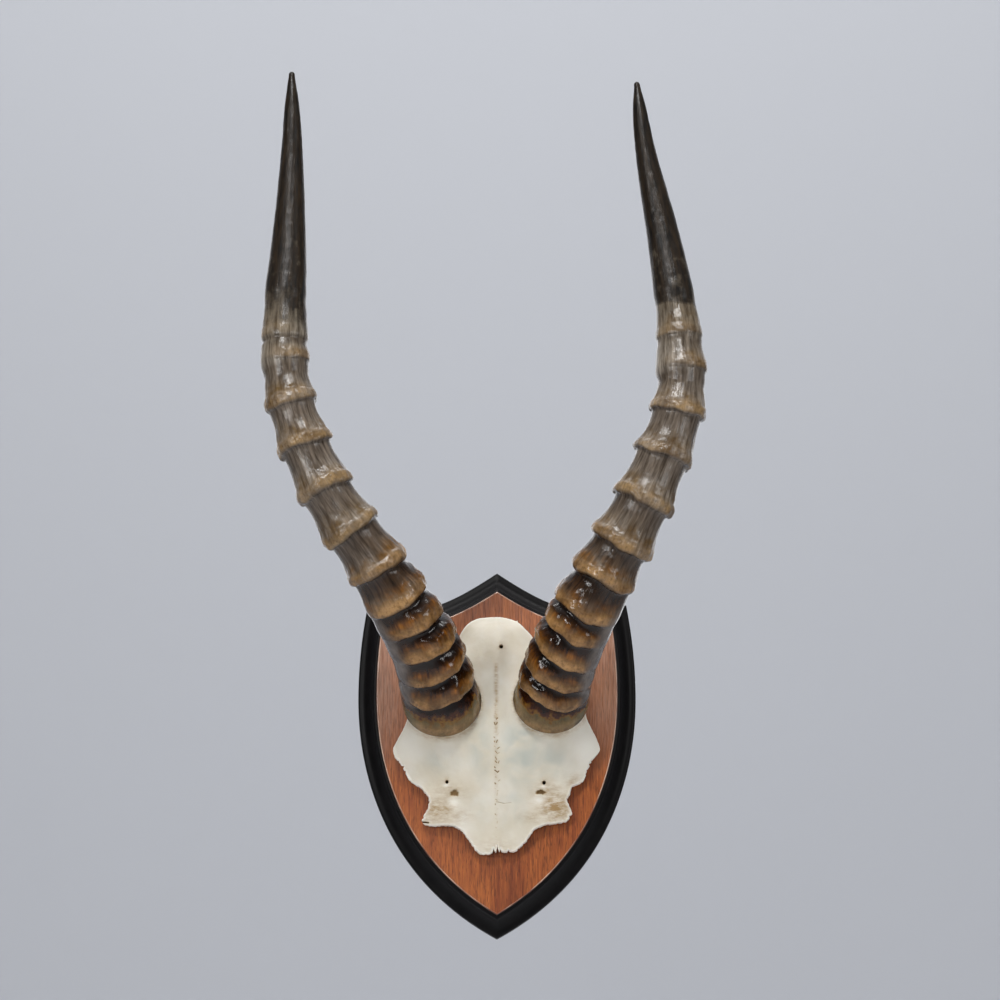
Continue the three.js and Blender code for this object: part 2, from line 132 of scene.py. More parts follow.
WING_LIFT, NOSE_LIFT = 4.5, 2.5
HILL = {"x": 33, "z": 18, "width": 17, "height": 20, "rise": 9}
# Breaks in the cut edge as (x, z, how deep, half width); a negative depth is a splinter that stands out
NOTCHES = [
    (-1.6, -60.5, 2.6, 0.5), (0.4, -60.2, 3.4, 0.45), (2.2, -60.2, 1.8, 0.4), (-4.8, -61, -0.7, 1.3),
    (6.6, -60.2, 0.9, 0.6), (9.4, -60, -0.5, 1), (12.6, -58.6, 0.7, 0.6), (15.4, -55.4, 0.6, 0.5),
    (-13.6, -57, 0.5, 0.6), (-55.2, -10.8, 1.1, 0.6), (-53.6, -13, 0.6, 0.5), (-57.6, -7.4, 0.5, 0.5),
    (54, -9, 1, 0.6), (55.2, -7.2, 0.6, 0.4), (52.6, -12.6, 0.5, 0.5), (42.6, -39.2, 0.9, 0.7),
    (41.2, -29.6, 0.6, 0.6), (-40.2, -31, 0.6, 0.6), (11.5, 74.6, -1, 0.4), (-42.4, -40, 0.5, 0.5),
    (38.4, -43, 0.4, 0.5), (-21.8, -47.4, 0.4, 0.5),
]
# Holes and hollows in the bone as (x, z, half width, half height, depth, how brown and how dark inside, the
# dark partly painted shade)
HOLES = [
    (-29, -20, 0.95, 1.05, 3.4, 1), (27.3, -20.5, 1.05, 1.15, 3.4, 1), (2.5, 57.6, 1.15, 1.15, 3, 0.95),
    (-24.6, -26.4, 2.7, 1.9, 1.4, 0.58), (25.4, -25.8, 3.1, 1.4, 1.4, 0.66),
    (-24.6, -31.4, 4, 3, 0.55, 0), (24.6, -30.6, 4.5, 3, 0.6, 0), (-29, -18, 2, 1.4, 0.25, 0.06),
]
# Cracks as (x, z) from and to, half width, depth, how dark, the darkness partly painted shade in the crack
CRACKS = [
    (-0.4, -31.6, 4.2, -32.6, 0.16, 0.4, 0.5), (4.2, -32.6, 8.2, -32, 0.14, 0.3, 0.35),
    (-45, -42.2, -39.8, -43, 0.4, 2.2, 1),
]

# Soft marks on the bone as (x, z, half width, half height, strength): grease on the two lower lobes, the nose
# and the wings, pale spots with painted light on the wings, and grey patches, the one on the slope right of
# the middle a painted shade
STAINS = [
    (-34, -36, 10, 7, 0.75), (34, -34, 10, 9, 0.9), (-27, -26, 9, 6, 0.4), (29, -26, 8, 6, 0.5),
    (0, -57, 12, 5, 0.25), (45, -20, 6, 5, 0.4), (-22, -40, 8, 4, 0.4), (22, -40, 8, 4, 0.4),
]
PALE_AND_LIT_SPOTS = [
    (-24.6, -31.2, 3.2, 2.4, 0.8), (24.6, -30.2, 3.6, 2.4, 0.8), (-29.4, -22, 1.6, 0.9, 0.9),
    (27, -22.6, 1.6, 0.9, 0.8), (-53, 2, 9, 12, 0.7), (53, 1, 9, 12, 0.9),
]
GREY_AND_SHADE_SPOTS = [
    (-9, 2, 7, 22, 0.5), (14, -4, 12, 19, 0.75), (-33, -8, 12, 8, 0.3), (30, -8, 15, 12, 0.5),
    (10, -34, 8, 12, 0.4), (-12, -36, 8, 10, 0.3),
]
EDGE_POINTS, EDGE_STEP = 980, 0.44  # points round the cut edge, and the way between two
LOOP_BATCH = 70
SUTURE_X = -0.5
SUTURE_BOX = (-3.2, 2.2, -59, 54)  # x from, x to, z from, z to
CAP_BOX = (-64, 64, -64, 80)

# Hardware: hole, slot, shank and head are radii
SKULL_SCREW = {"x": 33, "z": 27, "length": 34, "shank": 1.9, "head": 4.2, "cone": 2.6, "sink": 1.2}
PLATE_SCREW = {"length": 12, "shank": 1.3, "head": 2.8, "cone": 1.3, "sink": 0}
PLATE = {"z": 62, "width": 16, "height": 50, "thickness": 1.5, "hole": 4.8, "slot": 2.4, "run": 12,
         "spacing": 40}
GAP = 0.3
SHARP_ANGLE, SCREW_SHARP_ANGLE = math.radians(32), math.radians(35)

# Stage
FLOOR_Z, BACKDROP_Y, BACKDROP_TOP = -1150, 2600, 5000
STAGE_HALF = 9000
STAGE_CORNERS = [(-STAGE_HALF, -STAGE_HALF), (STAGE_HALF, -STAGE_HALF), (STAGE_HALF, STAGE_HALF),
                 (-STAGE_HALF, STAGE_HALF)]


# Nodes, colours and meshes
def rgb(code):
    """An sRGB hex colour as the linear colour that a socket takes."""
    parts = [int(code[i:i + 2], 16) / 255 for i in (1, 3, 5)]
    return tuple(c / 12.92 if c <= 0.04045 else ((c + 0.055) / 1.055) ** 2.4 for c in parts) + (1,)


def add(tree, kind, links=None, stops=(), curve=(), span=(), **settings):
    """A node with its settings, a shader node unless the kind says Node itself. links gives each input, by
    name or number, a value, a node or a socket; span is a map range's from and to; stops and curve are the
    points of a colour ramp and of a curve."""
    node = tree.nodes.new(kind if "Node" in kind else "ShaderNode" + kind)
    for key, value in settings.items():
        setattr(node, key, value)
    if stops:
        ramp = node.color_ramp
        while len(ramp.elements) < len(stops):
            ramp.elements.new(0.5)
        for element, (place, code) in zip(ramp.elements, stops):
            element.position = place
            element.color = rgb(code)
    if curve:
        points = node.mapping.curves[0].points
        while len(points) < len(curve):
            points.new(0.5, 0.5)
        for point, place in zip(points, curve):
            point.location = place
        node.mapping.update()
    open_inputs = [s for s in node.inputs if s.enabled]
    spans = zip(("From Min", "From Max", "To Min", "To Max"), span)
    for key, value in {**dict(spans), **(links or {})}.items():
        socket = open_inputs[key] if isinstance(key, int) else next(s for s in open_inputs if s.name == key)
        if isinstance(value, bpy.types.Node):
            value = next(s for s in value.outputs if s.enabled)
        if isinstance(value, bpy.types.NodeSocket):
            tree.links.new(value, socket)
        elif isinstance(value, str) and value.startswith("#"):
            socket.default_value = rgb(value)
        else:
            socket.default_value = value
    return node


def per(size):
    """The noise scale that gives features of a size in millimetres."""
    return 1 / (size * MM)


def material(name, draw):
    """A material. draw adds the nodes of its pattern and returns the shader's inputs, with the relief as
    (height, strength, how many mm high, or how deep where negative), each laid over the ones before it."""
    made = bpy.data.materials.new(name)
    made.use_nodes = True
    made.node_tree.nodes.clear()
    node = partial(add, made.node_tree)
    links = draw(node)
    below = {}
    for height, strength, size in links.pop("relief", ()):
        bump = {"Height": height, "Strength": strength, "Distance": abs(size) * MM}
        below = {"Normal": node("Bump", bump | below, invert=size < 0)}
    node("OutputMaterial", {"Surface": node("BsdfPrincipled", links | below)})
    return made


def new_tree(name, floats, *others):
    """A geometry tree that takes a geometry, named numbers, others as (name, kind) and a finish."""
    tree = bpy.data.node_groups.new(name, "GeometryNodeTree")
    numbers = ((item, "Float") for item in floats)
    for item, kind in (("Geometry", "Geometry"), *numbers, *others, ("Finish", "Material")):
        tree.interface.new_socket(item, in_out="INPUT", socket_type="NodeSocket" + kind)
    tree.interface.new_socket("Geometry", in_out="OUTPUT", socket_type="NodeSocketGeometry")
    node = partial(add, tree)
    return tree, node, node("NodeGroupInput").outputs


def end_tree(node, geometry, given):
    """Ends a geometry tree with real meshes in its finish."""
    real = node("GeometryNodeRealizeInstances", {"Geometry": geometry})
    finished = node("GeometryNodeSetMaterial", {"Geometry": real, "Material": given["Finish"]})
    node("NodeGroupOutput", {"Geometry": finished})


def mesh_object(name, points, faces, materials=(), face_materials=None):
    """An object from points in millimetres."""
    mesh = bpy.data.meshes.new(name)
    mesh.from_pydata((np.asarray(points, float) * MM).tolist(), [], [list(map(int, f)) for f in faces])
    for one in materials:
        mesh.materials.append(one)
    if face_materials is not None:
        mesh.polygons.foreach_set("material_index", np.asarray(face_materials, np.int32))
    mesh.polygons.foreach_set("use_smooth", [True] * len(mesh.polygons))
    mesh.update()
    made = bpy.data.objects.new(name, mesh)
    SCENE.collection.objects.link(made)
    return made


def store(mesh, name, values):
    """Keeps one number, or one vector, for every point of a mesh."""
    values = np.asarray(values, np.float32)
    kind, field = ("FLOAT_VECTOR", "vector") if values.ndim == 2 else ("FLOAT", "value")
    mesh.attributes.new(name, kind, "POINT").data.foreach_set(field, values.ravel())


def outward(obj):
    """Turns the faces of a closed shell outwards."""
    work = bmesh.new()
    work.from_mesh(obj.data)
    bmesh.ops.remove_doubles(work, verts=work.verts, dist=1e-7)
    bmesh.ops.recalc_face_normals(work, faces=work.faces)
    work.to_mesh(obj.data)
    work.free()
    return obj


def settle(obj):
    """Turns an object's modifiers into its plain mesh."""
    found = obj.evaluated_get(bpy.context.evaluated_depsgraph_get())
    mesh = bpy.data.meshes.new_from_object(found)
    obj.modifiers.clear()
    obj.data = mesh
    return obj


def grow(obj, tree, **values):
    """Runs a geometry tree on an object, with its named inputs set, and keeps the result as a plain mesh."""
    modifier = obj.modifiers.new(tree.name, "NODES")
    modifier.node_group = tree
    for item in tree.interface.items_tree:
        if item.name in values:
            modifier[item.identifier] = values[item.name]
    return settle(obj)


def cut(obj, cutters):
    """Takes closed shapes out of an object."""
    for cutter in cutters:
        modifier = obj.modifiers.new(cutter.name, "BOOLEAN")
        modifier.operation = "DIFFERENCE"
        modifier.solver = "EXACT"
        modifier.object = cutter
    settle(obj)
    for cutter in cutters:
        bpy.data.objects.remove(cutter)
    return obj


def finish_piece(obj, slot, *nodes):
    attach(obj, "root")
    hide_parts(*nodes)


def smooth_step(x, low, high):
    t = np.clip((x - low) / (high - low), 0, 1)
    return t * t * (3 - 2 * t)


def hermite(start, end, leave, arrive, t):
    """The cubic from one value to another with a slope at each end."""
    return ((2 * t**3 - 3 * t**2 + 1) * start + (t**3 - 2 * t**2 + t) * leave
            + (3 * t**2 - 2 * t**3) * end + (t**3 - t**2) * arrive)


def along(pairs, x):
    """Smooth reading of a list of (x, value) pairs, without overshoot."""
    xs, vs = np.array(pairs, float).T
    slope = np.diff(vs) / np.diff(xs)
    tangent = np.concatenate([slope[:1], (slope[1:] + slope[:-1]) / 2, slope[-1:]])
    flat = np.concatenate([[False], slope[1:] * slope[:-1] <= 0, [False]])
    tangent[flat] = 0
    x = np.clip(x, xs[0], xs[-1])
    i = np.clip(np.searchsorted(xs, x) - 1, 0, len(xs) - 2)
    h = xs[i + 1] - xs[i]
    return hermite(vs[i], vs[i + 1], h * tangent[i], h * tangent[i + 1], (x - xs[i]) / h)


def through(before, start, end, after, steps, pull=0.5):
    """Fine points from one point of a line to the next, bent by the points before and after them."""
    t = np.linspace(0, 1, steps, endpoint=False)[:, None]
    return hermite(start, end, (end - before) * pull, (after - start) * pull, t)


def unit(v):
    return v / np.linalg.norm(v, axis=-1, keepdims=True)


def circle(count):
    """The angles of points round a circle."""
    return np.linspace(0, 2 * math.pi, count, endpoint=False)


def ring_faces(rows, count, first=0):
    """Quads between rows of count points that close round."""
    a = np.arange(rows - 1)[:, None] * count + first
    j = np.arange(count)[None, :]
    k = (j + 1) % count
    return np.stack([a + j, a + k, a + k + count, a + j + count], -1).reshape(-1, 4)


def loft(name, loops, materials=(), face_materials=None):
    """A closed skin over loops of equal point count, with one face on each end."""
    count = len(loops[0])
    faces = ring_faces(len(loops), count).tolist()
    last = (len(loops) - 1) * count
    faces += [list(range(count))[::-1], [last + j for j in range(count)]]
    return outward(mesh_object(name, np.concatenate(loops), faces, materials, face_materials))


def flat_loop(outline, y):
    """An outline in x and z, laid at one y."""
    outline = np.asarray(outline, float)
    return np.stack([outline[:, 0], np.full(len(outline), float(y)), outline[:, 1]], 1)


# Materials: each function adds one pattern and returns what its shader gets
def wood_pattern(node, light, dark, pore):
    """Straight-grained mahogany: cloudy patches, streaks, fibres and dark pores, drawn out along the grain.
    Gives its colour, its fibres and its relief."""
    place = node("TexCoord").outputs["Object"]
    texture, read = {}, {}
    # As (size in mm across the grain, how the grain is shortened, detail, span of the noise, span it gives)
    for name, size, stretch, detail, *span in (
            ("patches", 26, 0.3, 3, 0.32, 0.68), ("streaks", 1.3, 0.06, 3, 0.3, 0.7),
            ("fibres", 0.6, 0.06, 3, 0.32, 0.68, 0.74, 1.24), ("pores", 0.44, 0.09, 1, 0.56, 0.68, 0, 0.5)):
        drawn = node("Mapping", {"Vector": place, "Scale": (1, 1, stretch)})
        texture[name] = node("TexNoise", {"Vector": drawn, "Scale": per(size), "Detail": detail,
                                          "Roughness": 0.6, "Distortion": 0.3})
        read[name] = node("MapRange", {"Value": texture[name]}, span=span)
    tone = node("Mix", {"Factor": 0.42, "A": read["patches"], "B": read["streaks"]})
    tone = node("ValToRGB", {"Fac": tone}, stops=[(0.15, dark), (0.85, light)])
    tone = node("Mix", {"Factor": 1, "A": tone, "B": read["fibres"]}, data_type="RGBA", blend_type="MULTIPLY")
    colour = node("Mix", {"Factor": read["pores"], "A": tone, "B": pore}, data_type="RGBA")
    relief = node("Math", {0: texture["fibres"], 1: read["pores"]}, operation="SUBTRACT")
    return colour, texture["fibres"], relief


def face_wood(node):
    # Mahogany, red-brown stain under brushed satin lacquer: grain and dark pores under a soft sheen
    colour, fibres, relief = wood_pattern(node, "#b7672f", "#7c3a1b", "#2f140b")
    # Painted sheen: the lacquer's reflection painted as a pale colour towards the sides and the top, broken
    # up along the fibres
    apart = node("SeparateXYZ", {"Vector": node("TexCoord").outputs["Object"]})
    aside = node("Math", {0: apart.outputs["X"]}, operation="ABSOLUTE")
    painted_sheen = node("MapRange", {"Value": aside}, span=(36 * MM, 74 * MM, 0.3), interpolation_type="SMOOTHSTEP")
    for share in (
            node("MapRange", {"Value": apart.outputs["Z"]}, span=(-24 * MM, 30 * MM, 0, 0.5),
                 interpolation_type="SMOOTHSTEP"),
            node("MapRange", {"Value": fibres}, span=(0.32, 0.68, 0.5, 1.4))):
        painted_sheen = node("Math", {0: painted_sheen, 1: share}, operation="MULTIPLY")
    # The painted sheen's pale colour, laid over the wood
    colour = node("Mix", {"Factor": painted_sheen, "A": colour, "B": "#d3b09c"}, data_type="RGBA")
    return {"Base Color": colour, "Roughness": node("MapRange", {"Value": fibres}, span=(0, 1, 0.32, 0.5)),
            "IOR": 1.5, "Specular IOR Level": 0.3, "Coat Weight": 0.2, "Coat Roughness": 0.25,
            "relief": [(relief, 0.35, 0.08)]}


def back_wood(node):
    # The same mahogany, only wiped with stain on the back: flatter, duller and furrier
    colour, _, relief = wood_pattern(node, "#a06d4c", "#744832", "#3a2116")
    return {"Base Color": colour, "Roughness": 0.68, "IOR": 1.5, "relief": [(relief, 0.5, 0.12)]}


def two_tone(node, size, detail, *stops):
    """A noise with features of a size in mm, and the colour it gives between two tones."""
    place = node("TexCoord").outputs["Object"]
    noise = node("TexNoise", {"Vector": place, "Scale": per(size), "Detail": detail})
    return noise, node("ValToRGB", {"Fac": noise}, stops=stops)


def border_paint(node):
    # Black paint sprayed over the moulding: satin, with the wood's fibres faintly raised through it
    film, colour = two_tone(node, 8, 3, (0.3, "#080708"), (0.7, "#100e0f"))
    grain = node("Mapping", {"Vector": node("TexCoord").outputs["Object"], "Scale": (1, 1, 0.05)})
    fibres = node("TexNoise", {"Vector": grain, "Scale": per(1.2), "Detail": 2})
    return {"Base Color": colour, "Roughness": node("MapRange", {"Value": film}, span=(0, 1, 0.34, 0.5)),
            "IOR": 1.5, "Specular IOR Level": 0.13, "relief": [(fibres, 0.25, 0.06)]}


def step_stain_and_shade(node):
    # Dark stain on the step beside the face, with a painted shadow of the arris: brown-black wood, a little
    # duller than the paint
    _, colour = two_tone(node, 4, 3, (0.35, "#140d0b"), (0.7, "#3a2018"))
    return {"Base Color": colour, "Roughness": 0.45, "IOR": 1.5}


def arris_wear_and_highlight(node):
    # The face's sharp edge, rubbed through to pale wood under the lacquer, with a painted highlight on it: a
    # thin bright line round the face
    _, colour = two_tone(node, 14, 4, (0.36, "#8f5740"), (0.62, "#d9b49c"))
    return {"Base Color": colour, "Roughness": 0.28, "IOR": 1.5, "Coat Weight": 0.5, "Coat Roughness": 0.15}


def bone(node):
    # Boiled and bleached bone: chalky cream, browner where grease and blood stayed, brown in every hole and
    # almost black deep in the holes, partly painted shade; painted light on the cut edge and the wings, and a
    # painted shade right of the middle
    place = node("TexCoord").outputs["Object"]
    read = {name: node("Attribute", attribute_name=name).outputs["Fac"]
            for name in ("hole", "stain", "grey_and_shade", "pale_and_lit")}
    # Brown stain is drawn out along the bone's own fibres in streaks about 1.5 mm wide
    drawn = node("Mapping", {"Vector": place, "Scale": (0.3, 1, 1), "Rotation": (0, 0.3, 0)})
    # Tone, tint, stain, open grain and a softer unevenness, as (coordinates, size in mm, detail, more)
    noise = {name: node("TexNoise", {"Vector": vector, "Scale": per(size), "Detail": detail, **more})
             for name, vector, size, detail, more in (
                 ("clouds", place, 22, 4, {"Roughness": 0.6}), ("tints", place, 14, 2, {"Distortion": 0.5}),
                 ("streaks", drawn, 2, 4, {"Roughness": 0.7}), ("grain", place, 0.7, 3, {"Roughness": 0.6}),
                 ("swell", place, 4, 3, {}))}
    share = {}
    for name, pattern, *span in (("grey_and_shade", "tints", 0.35, 0.65, 0.3, 1.3),
                                 ("stain", "streaks", 0.32, 0.68, 0.1, 1.7)):
        uneven = node("MapRange", {"Value": noise[pattern]}, span=span)
        share[name] = node("Math", {0: uneven, 1: read[name]}, operation="MULTIPLY", use_clamp=True)
    # Hole colour: ochre at the lip, brown, then almost black deep inside, the black partly painted shade
    hole = node("ValToRGB", {"Fac": read["hole"]},
                stops=[(0.15, "#b89c69"), (0.6, "#775a30"), (0.95, "#160d06")])
    colour = node("ValToRGB", {"Fac": noise["clouds"]}, stops=[(0.32, "#dcd2bd"), (0.68, "#ece6d8")])
    # Grey patches, one of them a painted shade, brown stain, pale spots with painted light on the cut edge
    # and the wings, and holes from ochre at the lip to almost black, the black partly painted shade
    for factor, laid in ((share["grey_and_shade"], "#b7bdb5"), (share["stain"], "#a98a5c"), (read["pale_and_lit"], "#fbf7ec"),
                         (node("MapRange", {"Value": read["hole"]}, span=(0.04, 0.5)), hole)):
        colour = node("Mix", {"Factor": factor, "A": colour, "B": laid}, data_type="RGBA")
    ridges = node("Math", {0: noise["streaks"], 1: read["stain"]}, operation="MULTIPLY")
    rough = node("MapRange", {"Value": noise["clouds"]}, span=(0, 1, 0.42, 0.62))
    return {"Base Color": colour, "Roughness": rough, "IOR": 1.5,
            "Subsurface Weight": 0.08, "Subsurface Radius": (1, 0.7, 0.4), "Subsurface Scale": 0.002,
            "relief": [(noise["grain"], 0.3, 0.1), (noise["swell"], 0.35, 0.5), (ridges, 0.7, 1.2)]}


def horn_keratin(node):
    # Keratin sheath, rubbed and waxed: tan rings, near-black hollows of dark horn and painted shade, grey
    # fibres between, a glossy dark tip
    read = {name: node("Attribute", attribute_name=name).outputs["Fac"]
            for name in ("along", "crest", "glow", "valley", "bold", "brown", "dark")}
    around = node("Attribute", attribute_name="grain").outputs["Vector"]
    drawn = node("Mapping", {"Vector": around, "Scale": (1, 1, 0.16)})  # fibres six times as long as wide
    place = node("TexCoord").outputs["Object"]
    # Patterns as (coordinates, size in mm, detail, span of the noise, span it is spread to if not 0 to 1)
    for name, vector, size, detail, *span in (
            ("fibres", drawn, 1, 3, 0.32, 0.68), ("coarse", drawn, 2.3, 3, 0.32, 0.68),
            ("clouds", place, 13, 4, 0.34, 0.66), ("patches", place, 8, 4, 0.34, 0.66),
            ("pits", place, 1.8, 4, 0.5, 0.66), ("amber", place, 9, 3, 0.4, 0.62, 0.15, 1),
            ("band", place, 11, 3, 0.32, 0.56, 0.35, 1), ("mottle", place, 7, 4, 0.3, 0.7, -0.6, 0.18),
            ("gloss", place, 7, 3, 0.3, 0.7, -0.03, 0.05), ("drift", place, 5, 2, 0.3, 0.7, -0.12, 0.12)):
        texture = node("TexNoise", {"Vector": vector, "Scale": per(size), "Detail": detail,
                                    "Roughness": 0.62})
        read[name] = node("MapRange", {"Value": texture}, span=span)
    # Stretches of the horn as (what is read, from, to, what it gives if not 0 to 1), in mm from the base
    for name, value, *span in (
            # depth: the hollows' dark colour and painted shade grow less up the horn
            ("middle", "along", 62, 125), ("upper", "along", 205, 260), ("depth", "along", 85, 155, 1, 0.62),
            ("collar", "along", 11, 15.5, 1, 0), ("front", "bold", 0.12, 0.5),
            # Painted shade dims the tan rims on the inner side near the base
            ("fibrous", "along", 62, 125, 0.6, 1), ("faded", "brown", 0, 1, 1, 0.7),
            ("dull", "dark", 0, 0.8, 0.12, 0.25), ("worn", "along", 62, 125, 0, 0.07)):
        read[name] = node("MapRange", {"Value": read[value]}, span=span)
    # Products of what was read
    for name, first, *factors in (
            # hollow: dark horn and painted shade under each ring, on the front
            ("hollow", "valley", "front", "depth"), ("ember", "glow", "front", "amber"),
            ("rim", "crest", "front", "band", "faded"), ("specks", "crest", "front", "pits"),
            ("speck_dark", "specks", 0.5), ("ridges", "fibres", "fibrous")):
        product = read[first]
        for factor in factors:
            product = node("Math", {0: product, 1: read.get(factor, factor)},
                           operation="MULTIPLY", use_clamp=True)
        read[name] = product
    read["tip"] = node("Math", {0: read["dark"], 1: 1.6, 2: read["mottle"]},
                       operation="MULTIPLY_ADD", use_clamp=True)
    # The collar by its height: olive, a streak of amber, then red-brown going almost black under the first
    # ring, dark horn and painted shade
    height = node("MapRange", {"Value": read["along"], "From Max": 20})
    height = node("Math", {0: height, 1: read["drift"]}, operation="ADD")
    collar = node("ValToRGB", {"Fac": height}, stops=[
        (0.02, "#4f4630"), (0.1, "#766945"), (0.36, "#665630"), (0.43, "#7d5517"), (0.52, "#43200c"),
        (0.66, "#170a06")])
    mottled = node("MapRange", {"Value": read["patches"]}, span=(0, 1, 0.55, 1.15))
    collar = node("Mix", {"Factor": 1, "A": collar, "B": mottled}, data_type="RGBA", blend_type="MULTIPLY")
    tone = {"collar": collar, "speck_dark": "#4d361d"}
    # Two-tone colours of the horn's parts as (dark, light, what tells them apart); the last three go from the
    # tone near the base to the one in the middle
    for name, dark, light, parts in (
            ("flank", "#463e39", "#766b64", "clouds"), ("front", "#130903", "#46301a", "patches"),
            ("middle", "#544b41", "#a59b8f", "coarse"), ("upper", "#453c30", "#8b8171", "coarse"),
            # Hollows under the rings: dark horn with painted shade
            ("hollow_low", "#030100", "#1c0903", "patches"), ("hollow_mid", "#24180f", "#453222", "coarse"),
            ("ember_low", "#3a1a08", "#985c18", "coarse"), ("ember_mid", "#4d3a26", "#65502f", "coarse"),
            ("rim_low", "#75512a", "#c5965e", "clouds"), ("rim_mid", "#614b31", "#9f835c", "clouds"),
            ("tip", "#080605", "#2e2317", "coarse"),
            ("hollow", "hollow_low", "hollow_mid", "middle"), ("ember", "ember_low", "ember_mid", "middle"),
            ("rim", "rim_low", "rim_mid", "middle")):
        two = {"A": tone.get(dark, dark), "B": tone.get(light, light)}
        tone[name] = node("Mix", {"Factor": read[parts], **two}, data_type="RGBA")
    colour = tone["flank"]
    for name in ("front", "middle", "upper", "hollow", "ember", "collar", "rim", "speck_dark", "tip"):
        colour = node("Mix", {"Factor": read[name], "A": colour, "B": tone[name]}, data_type="RGBA")
    shade = node("MapRange", {"Value": read["ridges"]}, span=(0, 1, 0.85, 1.2))
    colour = node("Mix", {"Factor": 1, "A": colour, "B": shade}, data_type="RGBA", blend_type="MULTIPLY")
    rough = node("Math", {0: read["dull"], 1: read["gloss"]}, operation="ADD")
    rough = node("Math", {0: rough, 1: read["worn"]}, operation="ADD", use_clamp=True)
    return {"Base Color": colour, "Roughness": rough, "IOR": 1.5, "Specular IOR Level": 0.4,
            "relief": [(read["ridges"], 0.45, 0.12), (read["coarse"], 0.3, 0.2),
                       (read["specks"], 0.4, -0.12)]}


def plating(light, dark, low, high):
    """Zinc plating in two tones of spangle, with its least and most roughness, finely scuffed all over."""
    def draw(node):
        place = node("TexCoord").outputs["Object"]
        spangle, scuffs = (node("TexNoise", {"Vector": place, "Scale": per(size), "Detail": detail})
                           for size, detail in ((2.5, 3), (0.6, 2)))
        return {"Base Color": node("Mix", {"Factor": spangle, "A": dark, "B": light}, data_type="RGBA"),
                "Roughness": node("MapRange", {"Value": spangle}, span=(0, 1, low, high)), "Metallic": 1,
                "relief": [(scuffs, 0.15, 0.04)]}
    return draw


# Shield board
def bezier(points, count):
    t = np.linspace(0, 1, count)[:, None]
    a, b, c, d = (np.array(p, float) for p in points)
    return (1 - t)**3 * a + 3 * (1 - t)**2 * t * b + 3 * (1 - t) * t**2 * c + t**3 * d


ROOF = bezier([(0, HALF_HEIGHT), (22, 94), (48, 77), SHOULDER], 90)
SIDE = np.concatenate([
    bezier([SHOULDER, (80.5, 72), (HALF_WIDTH, 54), (HALF_WIDTH, WIDEST_Z)], 80)[:-1],
    bezier([(HALF_WIDTH, WIDEST_Z), (HALF_WIDTH, -20), (60, -76.5), (0, -HALF_HEIGHT)], 160),
])


def inset_line(line, inset):
    t = np.gradient(line, axis=0)
    t /= np.linalg.norm(t, axis=1)[:, None]
    return line + inset * np.stack([t[:, 1], -t[:, 0]], 1)


def crossing(a, b):
    """Where two lines of points first cross: the index of the piece in each, and the point."""
    r, s = np.diff(a, axis=0)[:, None], np.diff(b, axis=0)[None]
    d = b[None, :-1] - a[:-1, None]
    det = r[..., 0] * s[..., 1] - r[..., 1] * s[..., 0]
    det[np.abs(det) < 1e-12] = np.nan
    u = (d[..., 0] * s[..., 1] - d[..., 1] * s[..., 0]) / det
    v = (d[..., 0] * r[..., 1] - d[..., 1] * r[..., 0]) / det
    i, j = np.argwhere((u >= 0) & (u <= 1) & (v >= 0) & (v <= 1))[0]
    return i, j, a[i] + r[i, 0] * u[i, j]


def resample(line, count):
    """count points at equal steps along a line, without its last one."""
    step = np.concatenate([[0], np.cumsum(np.linalg.norm(np.diff(line, axis=0), axis=1))])
    at = np.arange(count) / count * step[-1]
    return np.stack([np.interp(at, step, line[:, k]) for k in (0, 1)], 1)


def board_outline(inset):
    """The whole outline at one inset, anticlockwise from the apex, with its four corners kept sharp."""
    middle = np.array([(0, 2 * HALF_HEIGHT), (0, -2 * HALF_HEIGHT)], float)
    roof, side = inset_line(ROOF, inset), inset_line(SIDE, inset)
    if inset > 0:
        i, _, point = crossing(roof, middle)
        roof = np.concatenate([[point], roof[i + 1:]])
        i, _, point = crossing(side[::-1], middle)
        side = np.concatenate([side[:len(side) - 1 - i], [point]])
        i, j, point = crossing(roof, side)
        roof = np.concatenate([roof[:i + 1], [point]])
        side = np.concatenate([[point], side[j + 1:]])
    right = np.concatenate([resample(roof, ROOF_POINTS), resample(side, SIDE_POINTS)])
    left = right[1:] * (-1, 1)
    return np.concatenate([right[:1], left, side[-1:], right[:0:-1]])


def stadium(width, height, z, count=20):
    """A slot's outline, anticlockwise."""
    r = width / 2
    turn = np.linspace(0, math.pi, count)
    top = np.stack([r * np.cos(turn), z + height / 2 - r + r * np.sin(turn)], 1)
    low = np.stack([-r * np.cos(turn), z - height / 2 + r - r * np.sin(turn)], 1)
    return np.concatenate([top, low])


def keyhole(grow_by=0):
    """The plate's keyhole, anticlockwise: a round mouth with a narrow run above it."""
    hole, slot, z = PLATE["hole"] + grow_by, PLATE["slot"] + grow_by, PLATE["z"] - PLATE["run"] / 2
    turn = math.asin(slot / hole)
    mouth = np.linspace(math.pi / 2 + turn, 2.5 * math.pi - turn, 40)
    end = np.linspace(0, math.pi, 16)
    return np.concatenate([
        np.stack([hole * np.cos(mouth), z + hole * np.sin(mouth)], 1),
        np.stack([slot * np.cos(end), z + PLATE["run"] + slot * np.sin(end)], 1)])


def turned(name, profile, x, z, sides=32, materials=()):
    """A solid turned about the Y axis from a profile of (radius, y), ends on the axis."""
    turn = 2 * math.pi * np.arange(sides) / sides
    rows = [np.stack([x + r * np.cos(turn), np.full(sides, float(y)), z + r * np.sin(turn)], 1)
            for r, y in profile]
    return loft(name, rows, materials)


